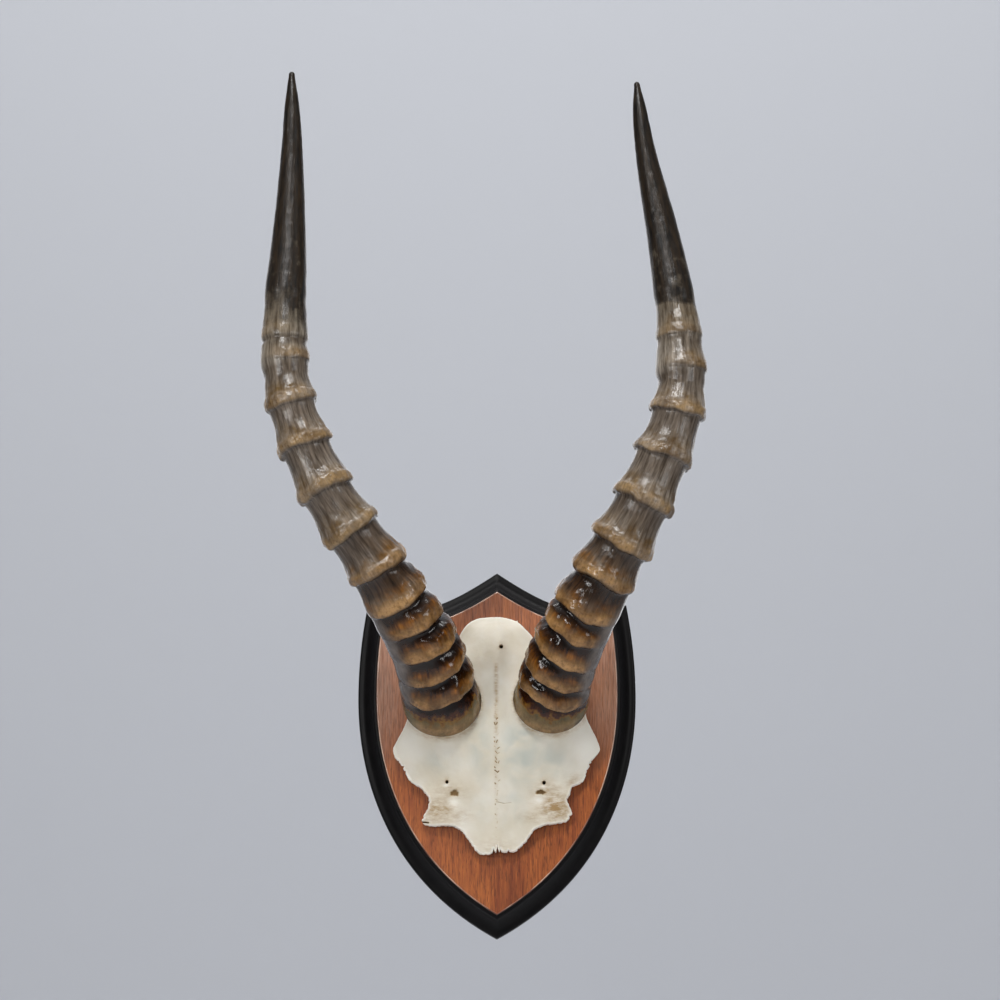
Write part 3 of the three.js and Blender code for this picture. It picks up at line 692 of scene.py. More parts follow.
def screw_hole(name, spec, x, z, materials=()):
    """A countersunk hole with room for its screw."""
    head, shank, sink = spec["head"] + GAP, spec["shank"] + GAP, spec["sink"]
    foot = -sink - spec["length"] - GAP
    profile = [(head + 0.5, 1), (head + 0.5, 0.01), (head, -0.45), (head, -sink - 0.7),
               (shank, -sink - spec["cone"] - GAP), (shank, foot + 2), (0.4, foot)]
    return turned(name, profile, x, z, materials=materials)


PLATE_SCREW_Z = [PLATE["z"] - PLATE["spacing"] / 2, PLATE["z"] + PLATE["spacing"] / 2]


def slot_loops(width, height, rows):
    """Loops of a slot at the plate's height, for rows of (how much wider, y)."""
    return [flat_loop(stadium(width + w, height + w, PLATE["z"]), y) for w, y in rows]


def cut_sharp(obj, cutters):
    cut(obj, cutters)
    obj.data.set_sharp_from_angle(angle=SHARP_ANGLE)
    return obj


def make_board(*finishes):
    """The shield; its finishes are those of the face, the moulding, the step, the arris and the back."""
    loops = [flat_loop(board_outline(inset), y) for inset, y in EDGE_ROWS]
    rows = np.arange(len(EDGE_ROWS) - 1)
    band = np.select([rows == 0, rows < STEP_ROW, rows < ARRIS_ROW, rows < FACE_ROW], [4, 1, 2, 3], 0)
    board = loft("shield", loops, finishes, [*np.repeat(band, len(loops[0])), 4, 0])
    bare = finishes[-1:] * len(finishes)
    recess = slot_loops(PLATE["width"] + 2 * GAP, PLATE["height"] + 2 * GAP,
                        ((0.7, 1), (0.7, 0.01), (0, -0.3), (0, -PLATE["thickness"] - GAP)))
    room = PLATE["hole"] + 1
    pocket = slot_loops(2 * room, PLATE["run"] + 2 * room, ((0, 1), (0, -8.2), (-1, -8.8), (-2.4, -9)))
    cutters = [loft("recess", recess, bare), loft("hollow", pocket, bare)]
    cutters += [screw_hole(f"hole_{i}", PLATE_SCREW, 0, z, bare) for i, z in enumerate(PLATE_SCREW_Z)]
    cutters += [screw_hole(f"bore_{i}", SKULL_SCREW, s * SKULL_SCREW["x"], SKULL_SCREW["z"], bare)
                for i, s in enumerate((-1, 1))]
    return cut_sharp(board, cutters)


def make_plate(zinc):
    """The keyhole plate, with rolled edges outside and in."""
    outer = slot_loops(PLATE["width"], PLATE["height"], (
        (-1.8, 0), (-0.7, 0), (-0.2, -0.1), (0, -0.35), (0, -1.15), (-0.2, -1.4), (-0.7, -1.5), (-1.8, -1.5)))
    plate = loft("hanger_plate_zinc", outer, [zinc])
    mouth = [flat_loop(keyhole(grow_by), y) for grow_by, y in (
        (0.6, 0.2), (0.22, 0), (0.06, -0.1), (0, -0.3), (0, -1.2), (0.06, -1.4), (0.22, -1.5), (0.6, -1.7))]
    return cut_sharp(plate, [loft("keyhole", mouth, [zinc])] + [
        screw_hole(f"plate_hole_{i}", PLATE_SCREW, 0, z, [zinc]) for i, z in enumerate(PLATE_SCREW_Z)])


# Screws
def make_screw_tree():
    """A countersunk cross-recess screw, head at the origin and shank down, then laid along -Y in place."""
    tree, node, given = new_tree(
        "countersunk_screw", ("Head Radius", "Cone Height", "Shank Radius", "Length", "Thread Pitch"),
        ("Place", "Vector"))
    # Sizes worked out from the named ones: a name stands for the size of that name
    size = {socket.name: socket for socket in given}
    for name, operation, a, b in (
            ("core", "MULTIPLY", "Shank Radius", 0.76), ("cone foot", "SUBTRACT", -0.00039, "Cone Height"),
            ("body", "MULTIPLY", "Length", 0.84), ("middle", "MULTIPLY", "Length", -0.42),
            ("point", "MULTIPLY", "Length", 0.17), ("foot", "SUBTRACT", 0.0, "Length"),
            ("thread", "MULTIPLY", "Length", 0.68), ("turns", "DIVIDE", "thread", "Thread Pitch"),
            ("thread foot", "MULTIPLY", "Length", -0.86), ("wide", "MULTIPLY", "Head Radius", 1.15),
            ("slim", "MULTIPLY", "Head Radius", 0.27), ("deep", "MULTIPLY", "Head Radius", 0.85)):
        size[name] = node("Math", {0: size.get(a, a), 1: size.get(b, b)}, operation=operation)
    # The head's straight rim, its cone, the shank, the point and the thread's helix, each at its height
    rim, cone, shank, point, helix = (
        node("GeometryNodeTransform", {
            "Geometry": node("GeometryNode" + kind, {key: size.get(of, of) for key, of in links.items()}),
            "Translation": node("CombineXYZ", {"Z": size.get(low, low)})})
        for kind, low, links in (
            ("MeshCylinder", -0.0002, {"Vertices": 48, "Radius": "Head Radius", "Depth": 0.0004}),
            ("MeshCone", "cone foot", {"Vertices": 48, "Radius Top": "Head Radius", "Radius Bottom": "core",
                                       "Depth": "Cone Height"}),
            ("MeshCylinder", "middle", {"Vertices": 32, "Radius": "core", "Depth": "body"}),
            ("MeshCone", "foot", {"Vertices": 32, "Radius Top": "core", "Radius Bottom": 0.0002,
                                  "Depth": "point"}),
            ("CurveSpiral", "thread foot", {"Resolution": 20, "Rotations": "turns", "Start Radius": "core",
                                            "End Radius": "core", "Height": "thread"})))
    ridge = node("GeometryNodeCurvePrimitiveCircle", {"Resolution": 3, "Radius": 0.00042})
    thread = node("GeometryNodeCurveToMesh", {"Curve": helix, "Profile Curve": ridge, "Fill Caps": True})
    # Cross recess: two crossed wedges
    boxes = [node("CombineXYZ", {"X": size[x], "Y": size[y], "Z": size["deep"]})
             for x, y in (("wide", "slim"), ("slim", "wide"))]
    blades = [node("GeometryNodeMeshCube", {"Size": box}) for box in boxes]
    whole = node("GeometryNodeMeshBoolean", operation="UNION", solver="EXACT")
    for part in (rim, cone, shank, point):
        tree.links.new(part.outputs["Geometry"], whole.inputs["Mesh 2"])
    recessed = node("GeometryNodeMeshBoolean", {"Mesh 1": whole.outputs["Mesh"]},
                    operation="DIFFERENCE", solver="EXACT")
    for blade in blades:
        tree.links.new(blade.outputs["Mesh"], recessed.inputs["Mesh 2"])
    joined = node("GeometryNodeJoinGeometry")
    for part in (thread, recessed):
        tree.links.new(part.outputs["Mesh"], joined.inputs["Geometry"])
    end_tree(node, node("GeometryNodeTransform", {
        "Geometry": joined, "Rotation": (-math.pi / 2, 0, 0), "Translation": given["Place"]}), given)
    return tree


def make_screw(name, tree, spec, x, z, finish):
    screw = grow(mesh_object(name, [(0, 0, 0)], []), tree, **{
        "Head Radius": spec["head"] * MM, "Cone Height": (spec["cone"] - 0.4) * MM,
        "Shank Radius": spec["shank"] * MM, "Length": spec["length"] * MM,
        "Thread Pitch": spec["shank"] * 1.1 * MM, "Place": (x * MM, -spec["sink"] * MM, z * MM),
        "Finish": finish})
    screw.data.set_sharp_from_angle(angle=SCREW_SHARP_ANGLE)
    return screw


# Horns
def smooth_path(points):
    """Fine points of the curve through a list of points, and the distance of each from the first."""
    p = np.array(points, float)
    p = np.concatenate([[2 * p[0] - p[1]], p, [2 * p[-1] - p[-2]]])
    fine = np.concatenate([*(through(*four, PATH_STEPS) for four in zip(p, p[1:], p[2:], p[3:])), p[-2:-1]])
    return fine, np.concatenate([[0], np.cumsum(np.linalg.norm(np.diff(fine, axis=0), axis=1))])


def horn_stations(rings, length):
    """Distances of the horn's sections from its base, close together round each ring's bead."""
    stops, s = [], 0.9
    crests = np.array([r[0] for r in rings])
    while s < length - TIP_LENGTH:
        stops.append(s)
        s += BEAD_STEP if np.any((s > crests - UNDERCUT) & (s < crests + BEAD)) else BODY_STEP
    return np.array(stops)


def make_horn_tree():
    """Ribs for a plain horn: beads that overhang on the base side, lumps, wavy edges and flutes."""
    tree, node, given = new_tree("horn_rings", (
        "Ring Depth", "Overhang", "Edge Wave", "Lump Height", "Knuckle Height", "Flute Depth", "Seed"))
    read = {name: node("GeometryNodeInputNamedAttribute", {"Name": name}, data_type=kind)
            for kind, names in (("FLOAT", ("ring", "girth", "bold", "lobe", "slant", "free")),
                                ("FLOAT_VECTOR", ("grain", "outward", "tipward"))) for name in names}
    # Each read from crest to crest, on the flared rings of the middle and on the thick rolls near the base:
    # waist is 0 on the crest and 1 at the narrowest, the others are shares of a colour; the valley's share is
    # dark horn and painted shade under the next ring
    shape = {}
    for name, *curves in (
            ("waist",
             ((0, 0), (0.05, 0.01), (0.1, 0.07), (0.15, 0.22), (0.2, 0.42), (0.26, 0.55), (0.42, 0.84),
              (0.55, 0.97), (0.66, 1), (0.75, 0.97), (0.8, 0.9), (0.84, 0.76), (0.88, 0.52), (0.92, 0.27),
              (0.96, 0.07), (1, 0)),
             ((0, 0), (0.1, 0), (0.22, 0.04), (0.34, 0.14), (0.46, 0.34), (0.58, 0.62), (0.68, 0.86),
              (0.76, 0.98), (0.82, 1), (0.87, 0.9), (0.91, 0.58), (0.96, 0.14), (1, 0))),
            ("glow",
             ((0, 0), (0.12, 0.1), (0.18, 0.8), (0.26, 1), (0.4, 0.5), (0.6, 0.12), (1, 0)),
             ((0, 0), (0.06, 0.15), (0.15, 0.8), (0.25, 1), (0.38, 0.65), (0.52, 0.12), (1, 0))),
            ("valley",
             ((0, 0), (0.2, 0.02), (0.3, 0.25), (0.48, 0.8), (0.7, 1), (0.95, 1), (0.98, 0.4), (1, 0)),
             ((0, 0), (0.2, 0.06), (0.31, 0.38), (0.43, 0.84), (0.56, 1), (0.96, 1), (0.985, 0.5), (1, 0))),
            ("crest",
             ((0, 1), (0.08, 0.95), (0.15, 0.62), (0.21, 0.3), (0.28, 0.12), (0.4, 0), (0.87, 0),
              (0.94, 0.6), (1, 1)),
             ((0, 1), (0.08, 0.88), (0.15, 0.52), (0.22, 0.22), (0.3, 0.07), (0.4, 0), (0.95, 0),
              (0.975, 0.6), (1, 1)))):
        flare, roll = (node("FloatCurve", {"Value": read["ring"]}, curve=points) for points in curves)
        shape[name] = node("Mix", {"Factor": read["lobe"], "A": flare, "B": roll})
    hang = node("FloatCurve", {"Value": read["ring"]}, curve=(
        (0, 0.5), (0.1, 0.2), (0.2, 0), (0.78, 0), (0.86, 0.3), (0.92, 0.95), (0.96, 0.9), (1, 0.5)))
    # Unevenness as (coordinates, size in mm, detail)
    lengthwise = node("VectorMath", {0: read["grain"], 1: (1, 1, 0.06)}, operation="MULTIPLY")
    place = node("GeometryNodeInputPosition")
    noise = {}
    for name, vector, size, detail in (
            ("wave", place, 16, 1.5), ("ripple", place, 7, 1), ("lump", place, 6.7, 2.5),
            ("knuckle", place, 10, 1), ("pebble", place, 2.4, 2), ("flute", lengthwise, 3.8, 2)):
        texture = node("TexNoise", {"Vector": vector, "W": given["Seed"], "Scale": per(size),
                                    "Detail": detail}, noise_dimensions="4D")
        noise[name] = node("Math", {0: texture, 1: 0.5}, operation="SUBTRACT")
    # Shares of the unevenness: lumps most on the beads, pebbles only there, ripples off the rolls
    plain = node("Math", {0: 1, 1: shape["waist"]}, operation="SUBTRACT")
    bead = node("Math", {0: plain, 1: read["bold"]}, operation="MULTIPLY")
    lumps = node("MapRange", {"Value": bead}, span=(0, 1, 0.2, 1))
    pebbles = node("Math", {0: bead, 1: 0.4}, operation="MULTIPLY")
    ripples = node("MapRange", {"Value": read["lobe"]}, span=(0, 1, 0.3, 0))
    # How far each point moves out from the centre line and along it, as sums of products
    pushed = []
    for way, *terms in (
            ("outward",
             (given["Lump Height"], noise["lump"], lumps),
             (given["Lump Height"], noise["pebble"], pebbles),
             (given["Knuckle Height"], noise["knuckle"], bead, read["lobe"]),
             (given["Flute Depth"], noise["flute"]),
             (given["Ring Depth"], read["girth"], shape["waist"], read["bold"], -1.0)),
            ("tipward",
             (given["Edge Wave"], noise["wave"], read["bold"]),
             (given["Edge Wave"], noise["ripple"], ripples, read["bold"]),
             (read["slant"],),
             (given["Overhang"], hang, read["bold"], -1.0))):
        total = 0.0
        for term, *factors in terms:
            for factor in factors:
                term = node("Math", {0: term, 1: factor}, operation="MULTIPLY")
            total = node("Math", {0: total, 1: term}, operation="ADD")
        move = node("Math", {0: total, 1: read["free"]}, operation="MULTIPLY")
        pushed.append(node("VectorMath", {0: read[way], "Scale": move}, operation="SCALE"))
    moved = node("VectorMath", {0: pushed[0], 1: pushed[1]}, operation="ADD")
    geometry = node("GeometryNodeSetPosition", {"Geometry": given["Geometry"], "Offset": moved})
    for name in ("crest", "glow", "valley"):
        kept = {"Geometry": geometry, "Name": name, "Value": shape[name]}
        geometry = node("GeometryNodeStoreNamedAttribute", kept, data_type="FLOAT", domain="POINT")
    end_tree(node, geometry, given)
    return tree


def ring_reads(spec, s, a):
    """For sections at s and the angles a round the horn: where each section lies between two rings, how bold
    its ring is at each angle, how far each point is on a roll of the base, and how much painted shade dims
    its rims there."""
    rings = spec["rings"]
    # 0 and 1 on crests, with the bead and the underside in fixed widths
    crests = np.array([ring[0] for ring in rings] + [rings[-1][0] + LAST_FLARE])
    k = np.clip(np.searchsorted(crests, s, side="right") - 1, 0, len(crests) - 2)
    past, left = s - crests[k], crests[k + 1] - s
    bead, under = np.minimum(BEAD, 0.33 * (past + left)), np.minimum(UNDERCUT, 0.29 * (past + left))
    between = 0.2 + 0.6 * (past - bead) / (past + left - bead - under)
    ring = np.where(past < bead, 0.2 * past / bead, np.where(left < under, 1 - 0.2 * left / under, between))
    ring = np.clip(ring, 0, 1)
    ring[s < crests[0]] = 0
    strengths = np.array([x[1] for x in rings] + [0])
    leans = np.array([x[2] for x in rings] + [0])
    blend = smooth_step(past / (past + left), 0.55, 0.9)
    strength = strengths[k] * (1 - blend) + strengths[k + 1] * blend
    strength[s > crests[-1]] = 0
    lean = (leans[k] * (1 - blend) + leans[k + 1] * blend)[:, None]
    # Rings run right round, weaker at the back; near the base they bulge on the inner side and fade on the
    # outer flank
    inwards = spec["inner"] * np.sin(a)[None]
    lower = 1 - smooth_step(s, 60, 120)[:, None]
    facing = np.cos(a[None] - lower * spec["inner"] * 0.8)
    bold = 0.5 + 0.5 * smooth_step(facing, -0.9, -0.1)
    bold = bold * (1 - 0.88 * lower * smooth_step(-facing, -0.45, 0.35))
    bold = bold * (1 - 0.8 * np.abs(lean) * (0.5 - 0.5 * lean * np.sin(a)[None])) * strength[:, None]
    rise = np.interp(s, [x[0] for x in rings], [x[3] for x in rings])
    low, high, askew = spec["tip"]
    start = smooth_step(s[:, None] + askew * np.sin(a)[None], low, high)
    # The inner side near the base gets painted shade that dims its rims
    return {"ring": ring[:, None], "bold": bold, "lobe": lower * smooth_step(inwards, -0.9, 0.3),
            "brown": lower * smooth_step(inwards, 0.35, 0.95), "slant": MM * rise[:, None] * inwards,
            "dark": 0.75 * start + 0.25 * smooth_step(s, 262, 330)[:, None]}


def make_horn_piece(name, spec, tree, finish, seed):
    fine, distance = smooth_path(spec["path"])
    length = distance[-1]
    body = horn_stations(spec["rings"], length)
    base_radius = spec["radius"][0][1]
    # Inside of the hollow base and its lip as (distance, radius), the body, and the rounded tip as (distance,
    # share of its radius)
    lip = [(LIP_DEPTH, PEDICLE_RADIUS * 0.5), (LIP_DEPTH, PEDICLE_RADIUS + 0.4), (2.6, PEDICLE_RADIUS + 0.8),
           (0.5, PEDICLE_RADIUS + 0.8), (0.12, PEDICLE_RADIUS + 1.1),
           (0, (PEDICLE_RADIUS + base_radius) / 2 + 0.4),
           (0.14, base_radius - 0.45), (0.45, base_radius - 0.12)]
    end = [(length - TIP_LENGTH + TIP_LENGTH * math.sin(a), math.cos(a)) for a in np.linspace(0.25, 1.45, 6)]
    s = np.array([p[0] for p in lip] + list(body) + [p[0] for p in end])
    r = along(spec["radius"], s)
    r[:len(lip)] = [p[1] for p in lip]
    r[-len(end):] = along(spec["radius"], length - TIP_LENGTH) * np.array([p[1] for p in end])
    ahead = unit(np.gradient(fine, distance, axis=0))
    centre, tangent = (np.stack([np.interp(s, distance, line[:, k]) for k in range(3)], 1)
                       for line in (fine, ahead))
    tangent = unit(tangent)
    # The first sections lie in the tilted plane of the base, and the next ones turn square to the horn
    rim = np.array([0, -math.sin(BASE_LEAN), math.cos(BASE_LEAN)])
    centre[:len(lip)] = np.array(spec["path"][0]) + rim * s[:len(lip), None]
    share = np.clip(s / BASE_BLEND, 0, 1)[:, None]
    share[:len(lip)] = 0
    normal = unit(rim * (1 - share) + tangent * share)
    side = unit(np.cross(normal, (0, -1, 0)))
    front = unit(np.cross(side, normal))
    a = 2 * math.pi * np.arange(HORN_SIDES) / HORN_SIDES
    outwards = front[:, None] * np.cos(a)[None, :, None] + side[:, None] * np.sin(a)[None, :, None]
    flat = (centre[:, None] + r[:, None, None] * outwards).reshape(-1, 3)
    poles = [np.array(spec["path"][0]) + rim * LIP_DEPTH, centre[-1] + tangent[-1] * 0.12]

    # Quads between the sections, and a fan on each end
    faces = ring_faces(len(s), HORN_SIDES).tolist()
    pairs = [(j, (j + 1) % HORN_SIDES) for j in range(HORN_SIDES)]
    n, last = len(flat), len(flat) - HORN_SIDES
    faces += [[n, y, x] for x, y in pairs] + [[n + 1, last + x, last + y] for x, y in pairs]
    horn = mesh_object(name, np.concatenate([flat, poles]), faces)

    wide = np.ones((1, HORN_SIDES))
    free = smooth_step(s, 0.4, 1.6) * smooth_step(length - s, 1, 8)
    free[:len(lip)] = 0
    reads = ring_reads(spec, s, a) | {"girth": r[:, None] * MM, "free": free[:, None], "along": s[:, None]}
    for key, values in reads.items():
        pole = 1 if key == "dark" else 0
        store(horn.data, key, np.append((values * wide).ravel(), [pole, pole]))
    grain = np.stack([r[:, None] * np.cos(a), r[:, None] * np.sin(a), s[:, None] * wide], -1) * MM
    tipwards = np.repeat(tangent, HORN_SIDES, 0)
    for key, values in (("outward", outwards), ("tipward", tipwards), ("grain", grain)):
        store(horn.data, key, np.concatenate([values.reshape(-1, 3), np.zeros((2, 3))]))
    outward(horn)
    grow(horn, tree, **{"Ring Depth": RING_DEPTH, "Overhang": 1.1 * MM, "Edge Wave": 7 * MM,
                        "Lump Height": 2.4 * MM, "Knuckle Height": 4.5 * MM, "Flute Depth": 0.6 * MM,
                        "Seed": seed, "Finish": finish})
    horn.data.polygons.foreach_set("use_smooth", [True] * len(horn.data.polygons))
    return horn


# Skull cap
def horn_seat(spec, x, z):
    """For points of the cap: distance from a horn's seat measured in its tilted plane, that plane's height
    over the board, and how far round towards the nose each point lies."""
    bx, by, bz = spec["path"][0]
    dx, dz = x - bx, (z - bz) / math.sin(BASE_LEAN)
    plane = BONE_BACK_Y - by - (z - bz) / math.tan(BASE_LEAN)
    reach = np.hypot(dx, dz)
    return reach, plane, -dz / np.maximum(reach, 1e-6)


def underside(x, z):
    return (WING_LIFT * smooth_step(np.abs(x), 34, 60) * (1 - smooth_step(z, 20, 45))
            + NOSE_LIFT * smooth_step(-z, 30, 60))


def bone_dome(x, z):
    """Height of the bone over the board before the horns' seats and the small features."""
    ridge = 1.2 * np.exp(-((x / 5) ** 2))
    fall = np.minimum(np.abs(x) / along(CAP_HALF_WIDTH, z), 1)
    crown = (1 - fall**2) ** 0.75
    up = ((z - HILL["z"]) / HILL["height"]) ** 2
    hill = sum(HILL["rise"] * np.exp(-(((x - hx) / HILL["width"]) ** 2) - up)
               for hx in (-HILL["x"], HILL["x"]))
    lift = underside(x, z)
    rim = CAP_EDGE + lift
    return np.maximum(rim + (along(CAP_MIDLINE, z) - CAP_EDGE) * crown + ridge + hill - lift, rim)


def soft_max(a, b, width):
    gap = np.clip(0.5 + 0.5 * (a - b) / width, 0, 1)
    return b + (a - b) * gap + width * gap * (1 - gap)


def bone_height(x, z, edge):
    """Height over the board of the bone's outer surface; edge is the distance from the cut edge."""
    height = bone_dome(x, z)
    for spec in HORNS.values():
        outer = spec["radius"][0][1]
        reach, plane, down = horn_seat(spec, x, z)
        slope = np.maximum(0.26, 0.17 + 0.364 * down)
        neck = plane - 0.3 - np.maximum(reach - PEDICLE_RADIUS, 0) / slope
        joined = soft_max(height, neck, 3.5)
        under_rim = np.minimum(joined, plane - 0.4)
        core = plane + 2
        height = np.where(reach < outer + 0.15, under_rim, joined)
        height = np.where(reach < PEDICLE_RADIUS - 0.1, core, height)
    rounding = np.clip(1 - edge / 0.9, 0, 1)
    height = height - 0.8 * (1 - np.sqrt(np.maximum(1 - rounding**2, 0)))
    return np.maximum(height, underside(x, z) + 1.2)


def inside(x, z, loop):
    """Which points lie in a closed outline."""
    found = np.zeros(len(x), bool)
    x0, z0 = loop[:, 0], loop[:, 1]
    x1, z1 = np.roll(x0, -1), np.roll(z0, -1)
    for i in range(len(loop)):
        if z0[i] != z1[i]:
            spans = (z0[i] > z) != (z1[i] > z)
            found ^= spans & (x < (x1[i] - x0[i]) * (z - z0[i]) / (z1[i] - z0[i]) + x0[i])
    return found


def to_line(x, z, ax, az, bx, bz):
    """Distance of points from a straight piece."""
    dx, dz = bx - ax, bz - az
    t = np.clip(((x - ax) * dx + (z - az) * dz) / (dx * dx + dz * dz), 0, 1)
    return np.hypot(x - ax - t * dx, z - az - t * dz)


def to_loop(points, loop):
    """Distance of points from the close points of a loop, in batches that keep the memory small."""
    near = np.full(len(points), np.inf)
    for i in range(0, len(loop), LOOP_BATCH):
        apart = points[:, None] - loop[None, i:i + LOOP_BATCH]
        near = np.minimum(near, np.hypot(apart[..., 0], apart[..., 1]).min(1))
    return near


def cap_edge_line():
    """The cut edge as close points, with its saw marks and breaks, and the way inwards at each."""
    p = np.array(CAP_OUTLINE, float)
    fine = np.concatenate([through(*four, 24, 0.35)
                           for four in zip(np.roll(p, 1, 0), p, np.roll(p, -1, 0), np.roll(p, -2, 0))])
    loop = resample(np.concatenate([fine, fine[:1]]), EDGE_POINTS)
    way = unit(np.roll(loop, -1, 0) - np.roll(loop, 1, 0))
    inward = np.stack([-way[:, 1], way[:, 0]], 1)  # the outline runs anticlockwise
    at = np.arange(EDGE_POINTS)
    # Saw marks as (waves round the outline, height), weaker at the crown
    rough = sum(size * np.sin(2 * math.pi * waves * at / EDGE_POINTS + RANDOM.uniform(0, 6.3))
                for waves, size in ((23, 0.16), (61, 0.12), (137, 0.09), (211, 0.06)))
    move = rough * (0.35 + 0.65 * smooth_step(-loop[:, 1], 0, 20))
    for x, z, depth, half in NOTCHES:
        steps = np.abs(at - np.argmin(np.hypot(loop[:, 0] - x, loop[:, 1] - z)))
        away = np.minimum(steps, EDGE_POINTS - steps) * EDGE_STEP
        move += depth * np.exp(-((away / half) ** 2))
    loop = loop + inward * move[:, None]
    # The outline keeps clear of the horns' seats
    for spec in HORNS.values():
        seat = np.array(spec["path"][0])[[0, 2]]
        reach, _, _ = horn_seat(spec, *loop.T)
        loop = seat + (loop - seat) * (np.maximum(PEDICLE_RADIUS + 1.8, reach) / reach)[:, None]
    return loop, inward


def make_suture():
    """Short dashes on both sides of the midline where the two halves of the bone lock together."""
    dashes, z, way = [], 52.0, 1
    while z > -60:
        strong = smooth_step(z, -62, -10) * (1 - 0.85 * smooth_step(z, 12, 30))
        x = SUTURE_X + way * RANDOM.uniform(0.1, 0.3 + 1.1 * strong)
        size, turn = RANDOM.uniform(0.5, 1.8) * (0.5 + 0.5 * strong), way * RANDOM.uniform(0.5, 1.4)
        dashes.append((x, z, x + size * math.cos(turn), z + size * math.sin(turn),
                       RANDOM.uniform(0.2, 1) ** 1.4 * (0.1 + 0.9 * strong)))
        z -= RANDOM.uniform(0.6, 2.4) / (0.45 + 0.55 * strong)
        way = -way if RANDOM.uniform() < 0.75 else way
    return dashes


def field(box, step):
    """Points in even triangles over a box of (x from, x to, z from, z to)."""
    xs, zs = np.arange(*box[:2], step), np.arange(*box[2:], step * 0.866)
    gx, gz = np.meshgrid(xs, zs)
    gx = gx + (np.arange(len(zs)) % 2)[:, None] * step / 2
    return np.stack([gx.ravel(), gz.ravel()], 1)


def cap_points(loop, inward):
    """Points of the outer surface: rows beside the edge, rings round the horns' seats and the holes, rows
    along the cracks, a fine strip on the suture, and an even field between."""
    sets = [loop + inward * d for d in (0.22, 0.5, 0.85, 1.3, 1.9)]
    _, _, foot, head = SUTURE_BOX
    wide = field(CAP_BOX, 0.85)
    wide = wide[(np.abs(wide[:, 0] - SUTURE_X) > 2.9) | (wide[:, 1] < foot) | (wide[:, 1] > head)]
    turn = circle(300)
    for spec in HORNS.values():
        (bx, _, bz), outer = spec["path"][0], spec["radius"][0][1]
        for reach in (*(PEDICLE_RADIUS + d for d in (-0.5, -0.12, 0.1, 0.7, 1.5)),
                      *(outer + d for d in (-0.4, 0.1, 0.25, 0.8, 1.5))):
            up = reach * np.sin(turn) * math.sin(BASE_LEAN)
            sets.append(np.stack([bx + reach * np.cos(turn), bz + up], 1))
        reach = np.hypot(wide[:, 0] - bx, (wide[:, 1] - bz) / math.sin(BASE_LEAN))
        wide = wide[(reach < PEDICLE_RADIUS - 0.8) | (reach > outer + 1.9)]
    turn = circle(26)
    for x, z, w, h, depth, _ in HOLES:
        for share in ((0.15, 0.4, 0.65, 0.85, 1, 1.15, 1.4) if depth > 1 else (0.3, 0.6, 0.9, 1.2)):
            sets.append(np.stack([x + w * share * np.cos(turn), z + h * share * np.sin(turn)], 1))
        wide = wide[np.hypot((wide[:, 0] - x) / w, (wide[:, 1] - z) / h) > 1.5]
    t = np.linspace(0, 1, 18)[:, None]
    for x0, z0, x1, z1, half, *_ in CRACKS:
        middle = np.array([x0, z0]) * (1 - t) + np.array([x1, z1]) * t
        across = unit(np.array([z0 - z1, x1 - x0], float))
        sets += [middle + across * d * half for d in (-2, -1, 0, 1, 2)]
    points = np.concatenate([*sets, field(SUTURE_BOX, 0.3), wide])
    points = points[inside(*points.T, loop)]
    return points[to_loop(points, loop) > 0.14]


def skin(loop, extra):
    """Triangles over a loop and points in it: the points, the faces, and where the loop's points went."""
    count = len(loop)
    flat = [tuple(p) for p in np.concatenate([loop, extra])]
    edges = [(i, (i + 1) % count) for i in range(count)]
    verts, _, faces, origins, _, _ = delaunay_2d_cdt(flat, edges, [], 1, 1e-5)
    order = np.zeros(count, int)
    for i, olds in enumerate(origins):
        for old in olds:
            if old < count:
                order[old] = i
    return np.array([tuple(v) for v in verts]), faces, order


def marked(start, x, z, marks):
    """The most of a start and of soft round marks of (x, z, half width, half height, strength)."""
    for mx, mz, w, h, amount in marks:
        start = np.maximum(start, amount * np.exp(-(((x - mx) / w) ** 2) - ((z - mz) / h) ** 2))
    return start


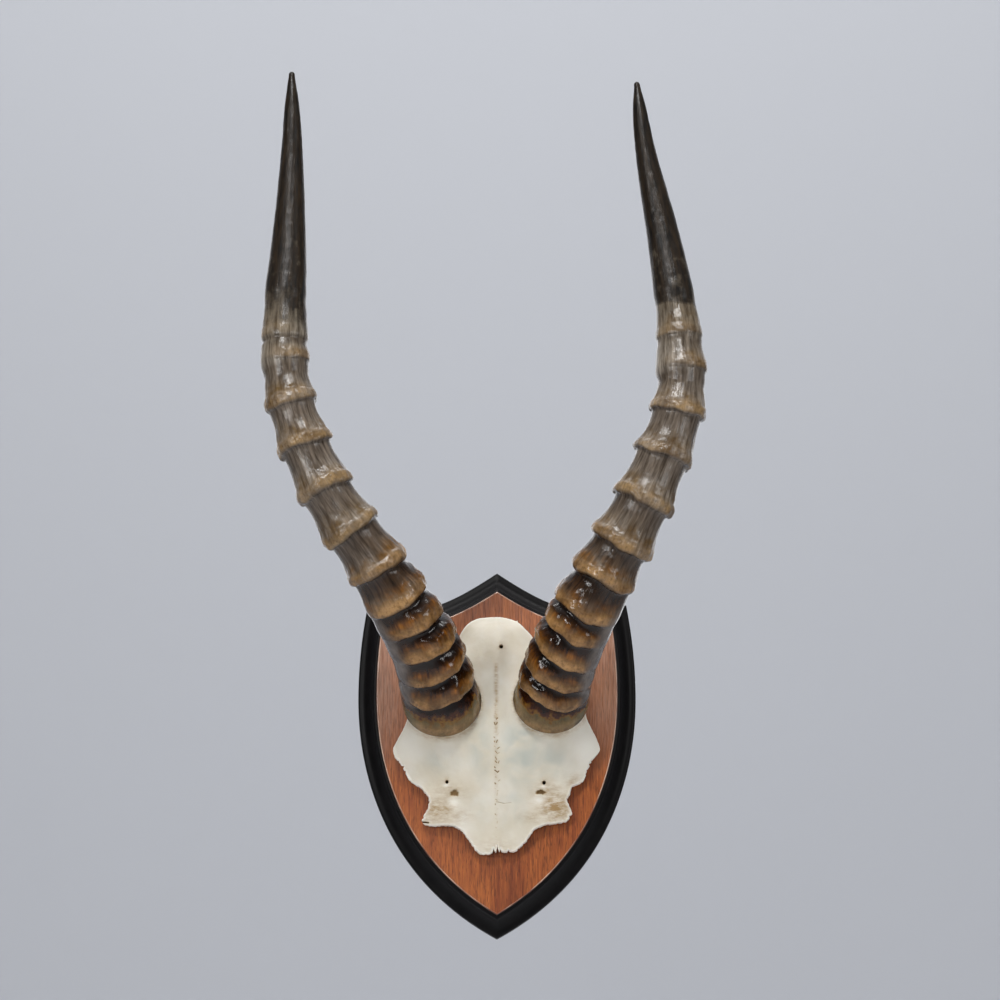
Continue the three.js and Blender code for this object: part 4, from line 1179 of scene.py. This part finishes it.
def bone_features(x, z, edge):
    """How deep the holes, cracks and suture go, and each point's share of hole (its dark middle partly
    painted shade), of stain, of grey patch and painted shade, and of pale spot and painted light.
    """
    dent = hole = stain = np.zeros(len(x))
    # Holes: brown stain round them, and darker towards the middle, partly painted shade
    for hx, hz, w, h, depth, brown in HOLES:
        round_to = np.arctan2(z - hz, x - hx)
        ragged = 1 + 0.14 * np.sin(3 * round_to + hx) + 0.09 * np.sin(7 * round_to + 2 * hz)
        reach = np.hypot((x - hx) / w, (z - hz) / h) * (ragged if w > 1.4 else 1)
        shape = 1 - smooth_step(reach, 0.55, 1.15) if depth > 1 else np.exp(-(reach**2) * 1.4)
        dent = np.maximum(dent, depth * shape)
        hole = np.maximum(hole, brown * (1 - smooth_step(reach, 0.6, 1.2)))
        stain = np.maximum(stain, 0.5 * brown * np.exp(-((reach / 2.2) ** 2)))
    # Cracks: darker along their line, partly painted shade in the crack
    for x0, z0, x1, z1, half, depth, darkness in CRACKS:
        shape = np.exp(-((to_line(x, z, x0, z0, x1, z1) / half) ** 2))
        dent = np.maximum(dent, depth * shape)
        hole = np.maximum(hole, darkness * shape)
    # The suture, shallower on the crown, and the stain along it
    for x0, z0, x1, z1, strong in make_suture():
        shape = np.exp(-((to_line(x, z, x0, z0, x1, z1) / 0.27) ** 2)) * strong
        dent = np.maximum(dent, 0.5 * shape * (1 - 0.6 * smooth_step(z, 12, 30)))
        hole = np.maximum(hole, shape)
    stain = np.maximum(stain, (0.22 + 0.3 * smooth_step(z, 0, 20)) * np.exp(-(((x - SUTURE_X) / 1.2) ** 2))
                       * smooth_step(z, -60, 0) * (1 - smooth_step(z, 44, 52)))
    stain = marked(stain, x, z, STAINS)
    for spec in HORNS.values():
        past = horn_seat(spec, x, z)[0] - spec["radius"][0][1]
        stain = np.maximum(stain, 0.5 * np.exp(-((np.maximum(past, 0) / 1.6) ** 2)))
    # Painted light: the cut edge lightened all round and the wings lightened, with a few pale spots
    pale_and_lit = marked(0.75 * (1 - smooth_step(edge, 0.3, 1.6)), x, z, PALE_AND_LIT_SPOTS)
    # Grey patches, and a painted shade on the slope right of the middle
    grey_and_shade = marked(np.zeros(len(x)), x, z, GREY_AND_SHADE_SPOTS)
    return dent, {"hole": hole, "stain": stain, "grey_and_shade": grey_and_shade, "pale_and_lit": pale_and_lit}


def make_cap(finish):
    """The skull cap: an outer and an inner skin on one outline, and the wall between them in bands."""
    loop, inward = cap_edge_line()
    count = len(loop)
    top, top_faces, top_order = skin(loop, cap_points(loop, inward))
    inner_field = field(CAP_BOX, 2.4)
    inner_field = inner_field[inside(*inner_field.T, loop)]
    low, low_faces, low_order = skin(loop, inner_field[to_loop(inner_field, loop) > 0.8])
    edge = to_loop(top, loop)
    edge[top_order] = 0
    x, z = top.T
    height = bone_height(x, z, edge)
    dent, features = bone_features(x, z, edge)
    height = np.maximum(height - dent, underside(x, z) + 0.5)
    outer, inner = (np.stack([p[:, 0], BONE_BACK_Y - h, p[:, 1]], 1)
                    for p, h in ((top, height), (low, underside(*low.T))))
    base, wall_at = len(outer), len(outer) + len(inner)
    faces = [list(f) for f in top_faces] + [[base + i for i in reversed(f)] for f in low_faces]
    wall = []
    for share, bulge in ((0.3, 0.12), (0.75, 0.1)):
        row = outer[top_order] * (1 - share) + inner[low_order] * share
        row[:, [0, 2]] -= inward * bulge
        wall.append(row)
    bands = [top_order, wall_at + np.arange(count), wall_at + count + np.arange(count), base + low_order]
    for upper, lower in zip(bands, bands[1:]):
        for i in range(count):
            j = (i + 1) % count
            faces.append([upper[i], lower[i], lower[j], upper[j]])
    cap = mesh_object("skull_cap_bone", np.concatenate([outer, inner, *wall]), faces, [finish])
    for key, values in features.items():
        # On the wall and the underside: a little stain, and painted light that lightens the cut edge
        rest = {"stain": 0.25, "pale_and_lit": 0.5}.get(key, 0)  # on the wall and the underside
        store(cap.data, key, np.append(values, np.full(len(inner) + 2 * count, rest)))
    return cap


# Build
finishes = {name: material(name, draw) for name, draw in (
    ("stained_mahogany_satin_lacquer", face_wood), ("black_painted_moulding", border_paint),
    ("dark_stained_step_and_painted_shade", step_stain_and_shade), ("rubbed_arris_and_painted_highlight", arris_wear_and_highlight),
    ("wiped_mahogany_back", back_wood), ("bleached_bone", bone), ("waxed_horn_keratin", horn_keratin),
    # Bright zinc plating on stamped steel: pale grey with a faint spangle
    ("bright_zinc_plate", plating("#c9cbcd", "#a6a9ad", 0.28, 0.42)),
    # Yellow-passivated zinc on rolled steel: brass-coloured with a cast of olive
    ("yellow_zinc_screw", plating("#d6bd7c", "#a8924f", 0.24, 0.38)))}

finish_piece(make_board(*list(finishes.values())[:5]), "mahogany_board", "shield_board")
finish_piece(make_plate(finishes["bright_zinc_plate"]), "zinc_plate", "hanger_plate")

screw_tree = make_screw_tree()
for name, node_name, spec, x, z in (
        ("plate_screw_1", "hanger_screw_1", PLATE_SCREW, 0, PLATE_SCREW_Z[0]),
        ("plate_screw_2", "hanger_screw_2", PLATE_SCREW, 0, PLATE_SCREW_Z[1]),
        ("long_screw_left", "skull_screw_left", SKULL_SCREW, -SKULL_SCREW["x"], SKULL_SCREW["z"]),
        ("long_screw_right", "skull_screw_right", SKULL_SCREW, SKULL_SCREW["x"], SKULL_SCREW["z"])):
    screw = make_screw(name, screw_tree, spec, x, z, finishes["yellow_zinc_screw"])
    finish_piece(screw, "screw_steel", node_name)

horn_tree = make_horn_tree()
for seed, (name, spec) in zip((3.0, 10.0), HORNS.items()):
    piece = make_horn_piece(name + "_sheath", spec, horn_tree, finishes["waxed_horn_keratin"], seed)
    finish_piece(piece, "horn", name)

finish_piece(make_cap(finishes["bleached_bone"]), "bone", "skull_cap")

# Stage
for name, corners, colour, rough in (
        ("studio_floor", [(x, y, FLOOR_Z) for x, y in STAGE_CORNERS], "#e4e5e8", 0.7),
        ("studio_backdrop", [(-STAGE_HALF, BACKDROP_Y, FLOOR_Z), (STAGE_HALF, BACKDROP_Y, FLOOR_Z),
                             (STAGE_HALF, BACKDROP_Y, BACKDROP_TOP), (-STAGE_HALF, BACKDROP_Y, BACKDROP_TOP)],
         "#cdd0d7", 0.8)):
    look = material(name, lambda node: {"Base Color": colour, "Roughness": rough})
    mesh_object(name, corners, [(0, 1, 2, 3)], [look])

world = bpy.data.worlds.new("studio")
world.use_nodes = True
world.node_tree.nodes.clear()
sky = add(world.node_tree, "Background", {"Color": "#e8e7e6", "Strength": 0.15})
add(world.node_tree, "OutputWorld", {"Surface": sky})
SCENE.world = world

# Lamps as (place, aim, size, watts)
for name, place, aim, size, power in (
        ("ceiling_panel", (0, -1, 4.2), (0, -1, 0), (7, 7), 52),
        ("overhead_softbox", (-0.3, -1.4, 1.9), (0, 0, 0.1), (1.2, 0.5), 3),
        ("key_lamp", (-0.15, -1.5, 1.25), (0, 0, 0.1), (0.5, 0.3), 14.4),
        ("camera_lamp", (-0.2, -1.75, 0.05), (0, 0, 0.1), (0.14, 0.14), 1.2),
        ("left_window", (-1.1, -1.6, 0.3), (0, 0, 0.1), (0.2, 0.6), 8.6),
        ("right_window", (1.6, -1.5, 0.3), (0, 0, 0.1), (0.3, 1), 9),
        ("rear_softbox", (0, 2.4, 0.8), (0, 0, 0.8), (3.4, 1.4), 14),
        ("backdrop_wash", (0, 0.2, 3.4), (0, 2.6, 0.6), (4, 0.8), 72)):
    light = bpy.data.lights.new(name, "AREA")
    light.shape = "RECTANGLE"
    light.size, light.size_y = size
    light.energy = power
    lamp = bpy.data.objects.new(name, light)
    lamp.location = place
    lamp.rotation_euler = (Vector(aim) - Vector(place)).to_track_quat("-Z", "Y").to_euler()
    lamp.visible_camera = False
    SCENE.collection.objects.link(lamp)

camera = bpy.data.objects.new("camera", bpy.data.cameras.new("camera"))
camera.location = [c * MM for c in CAMERA_PLACE]
camera.rotation_euler = (math.radians(90 + CAMERA_PITCH), 0, 0)
camera.data.lens = CAMERA_LENS
SCENE.collection.objects.link(camera)
SCENE.camera = camera
SCENE.view_settings.view_transform = "Standard"

bpy.context.view_layer.update()
